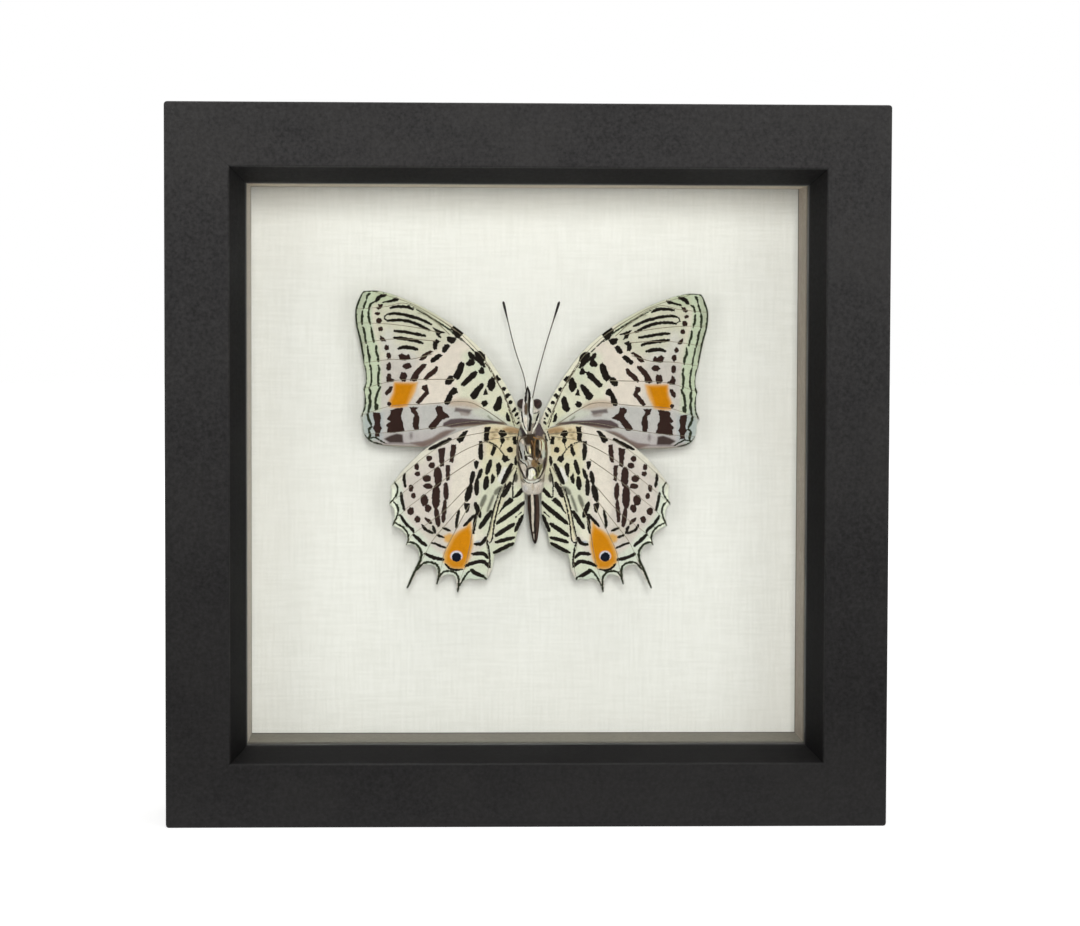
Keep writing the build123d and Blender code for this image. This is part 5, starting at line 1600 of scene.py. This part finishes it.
palp_marks = [(linear(28, 22, 18), [
    (0.36, [(-1.06, 12.9), (-1.32, 11.7), (-1.46, 10.4), (-1.52, 9.2)]),
    (0.42, [(-1.0, 12.9), (-0.76, 11.9), (-0.62, 10.8), (-0.66, 9.6), (-0.76, 8.6), (-0.74, 7.6),
            (-0.56, 6.8)]),
    (0.5, [(-0.6, 6.9), (-0.42, 6.0), (-0.46, 5.0), (-0.58, 4.0), (-0.62, 3.0), (-0.5, 2.4)]),
]), (linear(70, 54, 42), [(0.14, [(-1.6, 9.3), (-1.7, 8.0), (-1.62, 6.8)])])]
foreleg_rings = {
    "left": [(-1.1, 2.3, 0.06, 0.08, 2.4), (-1.5, 3.3, 0.24, 0.24, 2.3), (-1.93, 4.4, 0.32, 0.3, 2.1),
             (-2.18, 5.3, 0.38, 0.34, 1.9), (-2.34, 6.3, 0.4, 0.34, 1.6), (-2.36, 7.1, 0.26, 0.26, 1.3),
             (-2.3, 7.6, 0.06, 0.08, 1.2)],
    "right": [(-0.05, 2.5, 0.06, 0.08, 2.5), (0.28, 3.4, 0.2, 0.24, 2.4), (0.64, 4.2, 0.3, 0.3, 2.2),
              (0.98, 5.1, 0.36, 0.34, 1.9), (1.26, 6.1, 0.36, 0.34, 1.6), (1.46, 6.8, 0.22, 0.24, 1.3),
              (1.54, 7.2, 0.06, 0.08, 1.2)],
}
foreleg_washes = [(linear(226, 222, 208), 0.5, 1.0, [])]
foreleg_marks = [(linear(26, 22, 18), [
    (0.38, [(-2.2, 7.4), (-2.12, 6.2), (-1.96, 5.1)]), (0.16, [(-1.92, 5.0), (-1.72, 4.2), (-1.35, 3.3)]),
    (0.38, [(1.38, 7.0), (1.08, 6.2), (0.84, 5.4)]), (0.2, [(0.8, 5.3), (0.62, 4.7), (0.3, 4.0)]),
])]
for side in ("left", "right"):
    body_piece("palp_%s_haired" % side, palp_rings[side], palp_washes, palp_marks, ["palp_" + side], 0.1)
    body_piece("foreleg_" + side, foreleg_rings[side], foreleg_washes, foreleg_marks, (), 0.1)
print("palps and forelegs done")

# %% [markdown]
# ## Eyes
# A butterfly's eye is a dome of thousands of tiny lenses. A Voronoi texture gives each lens a
# cell of its own: its distance output becomes the bump and a slight change of tone.

# %% Eyes
material, tree, place = new_material("eye_lenses")
lenses = node(tree, "ShaderNodeTexVoronoi", {"Vector": place, "Scale": 11000.0})
blotch = noise(tree, place, 1500.0, 3.0)
tone = blend_colours(tree, between(tree, blotch, 0.35, 0.7), linear(44, 28, 26), linear(76, 48, 46))
tone = blend_colours(tree, between(tree, lenses.outputs["Distance"], 0.2, 0.7, 0.0, 0.5), tone,
                     linear(26, 18, 16))
coat(tree, tone, between(tree, blotch, 0.3, 0.7, 0.28, 0.4),
     bumped(tree, lenses.outputs["Distance"], -0.03 * MM, 0.6))

eye_radius = 1.1
eye_up = 8.97
for side, out in (("left", -2.12), ("right", 1.08)):
    rings = []
    for turn in np.linspace(0.03, math.pi - 0.03, 19):
        wide = eye_radius * math.sin(turn)
        rings.append((out, eye_up + eye_radius * math.cos(turn), wide, wide, 0.0))
    mesh = ring_shape("eye_%s_lensed" % side, rings, 48, 0.2)[0]
    smooth_faces(mesh)
    as_piece("eye_%s_lensed" % side, mesh, material, ["eye_" + side])
print("two eyes")

# %% [markdown]
# ## Antennas and folded legs by Geometry Nodes
# An antenna is a thin ringed thread that swells into a club, and a leg is a tube with joints.
# Both are tubes whose thickness changes along them, so one tree sweeps them all: here the girth
# stored at each point of a path is the thickness itself.

# %% Limb tree
def limb_radius(tree, girth, inputs):
    return reckon(tree, "MULTIPLY", girth, inputs["Thickness"])


limb_brown, tree, place = new_material("limb_brown")
fleck = noise(tree, stretched(tree, place, (2600.0, 2600.0, 1500.0)), 1.0, 4.0)
tone = tinted(tree, stored(tree, "ground"), between(tree, fleck, 0.25, 0.75, 0.7, 1.3, False))
coat(tree, tone, between(tree, fleck, 0.3, 0.7, 0.45, 0.62), bumped(tree, fleck, 0.02 * MM, 0.5))
limb_tree = sweep_tree("limb_tubes", {"Thickness": 1.0}, limb_radius, 10, limb_brown)


# %% Limb helpers
def sweep_limbs(name, limbs, old_piece):
    """Tubes along limbs, each given as its points, girths and colours."""
    lines, girths, tones = zip(*limbs)
    loose = path_mesh(name + "_paths", lines, girths)
    store(loose.attributes, "ground", "FLOAT_COLOR", np.concatenate(tones))
    tubes = run_tree(name + "_paths", loose, limb_tree, {"Thickness": 1.0})
    smooth_faces(tubes)
    as_piece(name, tubes, None, [old_piece])


def along_line(line):
    """How far along the line each of its points is, in millimetres."""
    steps = np.hypot(*np.diff(line[:, :2], axis=0).T)
    return np.concatenate([[0.0], np.cumsum(steps)])


def blend_tones(share, first, second):
    """Colours that go from the first to the second as the share goes from 0 to 1."""
    return (1 - share[:, None]) * np.array(first) + share[:, None] * np.array(second)


print("limb helpers ready")

# %% Antennas
thread_radius, club_swell, ring_pitch = 0.12, 0.16, 0.36


def antenna(route):
    """A ringed thread with a club at its end."""
    line = smooth_line(route, 0.09)
    gone = along_line(line)
    club = np.clip((gone - gone[-1] + 5.0) / 3.6, 0, 1)
    tip = np.sqrt(np.clip((gone[-1] - gone) / 0.35, 0.02, 1))
    ringed = 1 + 0.1 * np.sin(2 * math.pi * gone / ring_pitch)
    thick = (thread_radius + club_swell * club ** 1.4) * tip * ringed
    tones = blend_tones(np.clip(club * 1.6, 0, 1), linear(92, 84, 74), linear(30, 24, 22))
    return in_case(line, np.full(len(line), body_y)), thick * MM, tones


antenna_routes = {
    "right": [(-0.05, 9.4), (0.35, 11.4), (1.15, 15.0), (3.05, 22.0), (5.85, 31.1)],
    "left": [(-1.05, 9.6), (-1.3, 12.2), (-1.85, 15.2), (-3.85, 21.2), (-6.3, 31.1)],
}
for side, route in antenna_routes.items():
    sweep_limbs("antenna_%s_ringed" % side, [antenna(route)], "antenna_" + side)
print("two antennas")


# %% Legs
def leg(route, thickest, tone):
    """A folded leg that lies on the thorax, thicker at its knees."""
    line = smooth_line(route, 0.12)
    gone = along_line(line)
    share = gone / gone[-1]
    knees = 0.55 + 0.45 * np.abs(np.cos(2.5 * math.pi * share))
    thick = thickest * knees * (1 - 0.45 * share)
    shape = smooth_line(thorax_rings, 0.1)[::-1]
    middle, wide, deep = (np.interp(line[:, 1], shape[:, 1], shape[:, number]) for number in (0, 2, 3))
    rest = np.clip(1 - ((line[:, 0] - middle) / wide) ** 2, 0.02, 1)
    depth = body_y - deep * np.sqrt(rest) - 0.05
    return in_case(line, depth), thick * MM, blend_tones(share, tone, linear(58, 44, 34))


leg_list = [
    leg([(1.0, 2.1), (2.2, 1.7), (3.0, 0.4), (3.2, -2.2), (2.7, -5.0), (1.3, -7.2)], 0.2,
        linear(132, 108, 78)),
    leg([(-1.2, 2.1), (-2.6, 1.3), (-3.05, -1.0), (-2.7, -4.2), (-1.4, -7.0)], 0.19, linear(92, 80, 66)),
    leg([(0.2, 1.9), (1.9, 1.0), (1.75, -1.6), (1.1, -3.0), (0.5, -3.6)], 0.16, linear(150, 108, 50)),
    leg([(-0.2, 1.2), (0.35, -0.4), (0.2, -2.2), (0.9, -3.4), (1.7, -4.4)], 0.15, linear(120, 84, 44)),
    leg([(-1.1, -6.9), (-1.15, -5.3), (-0.4, -4.6), (0.4, -4.8), (1.0, -6.0)], 0.15, linear(48, 38, 30)),
]
sweep_limbs("legs_jointed", leg_list, "legs")
print(len(leg_list), "folded legs")

# %% [markdown]
# ## Hair and fringe by Geometry Nodes
# Fine hair covers the thorax, the head and the join of the abdomen. One tree scatters points
# over a piece with a fixed seed, sets a thin three-sided cone on each, and lays it down along
# the body. The points keep the colour of the place they grow from. A second tree sets short
# cones, the fringe scales, along each wing's outer edge.

# %% Hair tree
fine_hair, tree, place = new_material("fine_hair")
tone = blend_colours(tree, inked(tree, 0.0, 0.06), stored(tree, "ground"), stored(tree, "ink"))
shade = between(tree, noise(tree, place, 2200.0, 2.0), 0.3, 0.7, 0.7, 1.25, False)
coat(tree, tinted(tree, tone, shade), between(tree, shade, 0.7, 1.4, 0.5, 0.7))


def vector_sum(tree, first, second):
    return node(tree, "ShaderNodeVectorMath", {0: first, 1: second}, operation="ADD").outputs[0]


def stray(tree, inputs, reach):
    """A small random vector of its own for each point."""
    low = tuple(-part for part in reach)
    return node(tree, "FunctionNodeRandomValue", {"Min": low, "Max": reach, "Seed": inputs["Seed"]},
                data_type="FLOAT_VECTOR").outputs[0]


def set_cones(tree, inputs, points, direction, size=(1.0, 1.0, 1.0)):
    """Ends a tree with a thin three-sided cone on each point, along a direction."""
    turned = node(tree, "FunctionNodeAlignRotationToVector", {"Vector": direction}, axis="Z")
    cone = node(tree, "GeometryNodeMeshCone", {"Vertices": 3, "Radius Top": 0.0,
                                               "Radius Bottom": inputs["Width"],
                                               "Depth": inputs["Length"]})
    cones = node(tree, "GeometryNodeInstanceOnPoints", {
        "Points": points, "Instance": cone.outputs["Mesh"],
        "Rotation": turned.outputs[0], "Scale": size})
    close_tree(tree, cones.outputs[0], fine_hair)


hair_density = 9.0e6         # hairs to the square metre
hair_tree, inputs = geometry_tree("hair_coat", {"Density": hair_density, "Length": 0.5 * MM,
                                                "Width": 0.024 * MM, "Lift": 0.3, "Seed": 11})
spread = node(hair_tree, "GeometryNodeDistributePointsOnFaces",
              {"Mesh": inputs["Geometry"], "Density": inputs["Density"], "Seed": inputs["Seed"]})
raised = node(hair_tree, "ShaderNodeVectorMath", {0: spread.outputs["Normal"], "Scale": inputs["Lift"]},
              operation="SCALE").outputs[0]
down_the_body = (0.0, 0.0, -0.8)
lean = vector_sum(hair_tree, raised, down_the_body)
lean = vector_sum(hair_tree, lean, stray(hair_tree, inputs, (0.25, 0.25, 0.25)))
sizes = node(hair_tree, "FunctionNodeRandomValue", {2: 0.6, 3: 1.3, "Seed": inputs["Seed"]},
             data_type="FLOAT").outputs[1]
set_cones(hair_tree, inputs, spread.outputs["Points"], lean, sizes)
print("hair tree:", len(hair_tree.nodes), "nodes")

# %% Grow the hair
hair_coats = {               # the piece it grows on, length, width, lift and seed
    "thorax_hair": ("thorax_sculpted", 0.5, 0.024, 0.3, 11),
    "head_hair": ("head_sculpted", 0.5, 0.024, 0.3, 12),
    "abdomen_hair": ("abdomen_ringed", 0.25, 0.02, 0.15, 13),
}
for name, (source, length, width, lift, seed) in hair_coats.items():
    hairs = run_tree(name, bpy.data.objects[source].data.copy(), hair_tree,
                     {"Density": hair_density, "Length": length * MM, "Width": width * MM,
                      "Lift": lift, "Seed": seed})
    as_piece(name, hairs, None)
    print(name, len(hairs.polygons), "faces")

# %% Fringe tree
fringe_tint = linear(168, 172, 160)
fringe_sizes = {"Spacing": 0.12 * MM, "Length": 0.26 * MM, "Width": 0.03 * MM, "Seed": 21}
fringe_tree, inputs = geometry_tree("wing_fringe", fringe_sizes)
paths = node(fringe_tree, "GeometryNodeMeshToCurve", {"Mesh": inputs["Geometry"]})
spots = node(fringe_tree, "GeometryNodeResampleCurve",
             {"Curve": paths.outputs[0], "Length": inputs["Spacing"]}, mode="LENGTH")
tangent = node(fringe_tree, "GeometryNodeInputTangent")
outward = node(fringe_tree, "ShaderNodeVectorMath", {0: tangent.outputs[0], 1: (0.0, 1.0, 0.0)},
               operation="CROSS_PRODUCT")
lean = vector_sum(fringe_tree, outward.outputs[0], stray(fringe_tree, inputs, (0.25, 0.1, 0.25)))
set_cones(fringe_tree, inputs, spots.outputs[0], lean)
print("fringe tree:", len(fringe_tree.nodes), "nodes")


# %% Set the fringes
def fringe_path(name, edge, depth):
    """The wing's outer edge as a loop with the fringe's colour at each point."""
    points = set_out(edge, name, np.full(len(edge), depth))
    if name.endswith("left"):
        points = points[::-1]
    count = len(points)
    loop = [(number, (number + 1) % count) for number in range(count)]
    mesh = as_mesh(name + "_edge", points, loop, [])
    store(mesh.attributes, "ground", "FLOAT_COLOR", np.tile(fringe_tint, (count, 1)))
    store(mesh.attributes, "edge", "FLOAT", np.ones(count))
    return mesh


for name, (edge, veins, depth) in wings.items():
    fringe = run_tree(name + "_fringe", fringe_path(name, edge, depth), fringe_tree, fringe_sizes)
    as_piece(name + "_fringe", fringe, None)
    print(name, "fringe:", len(fringe.polygons), "faces")
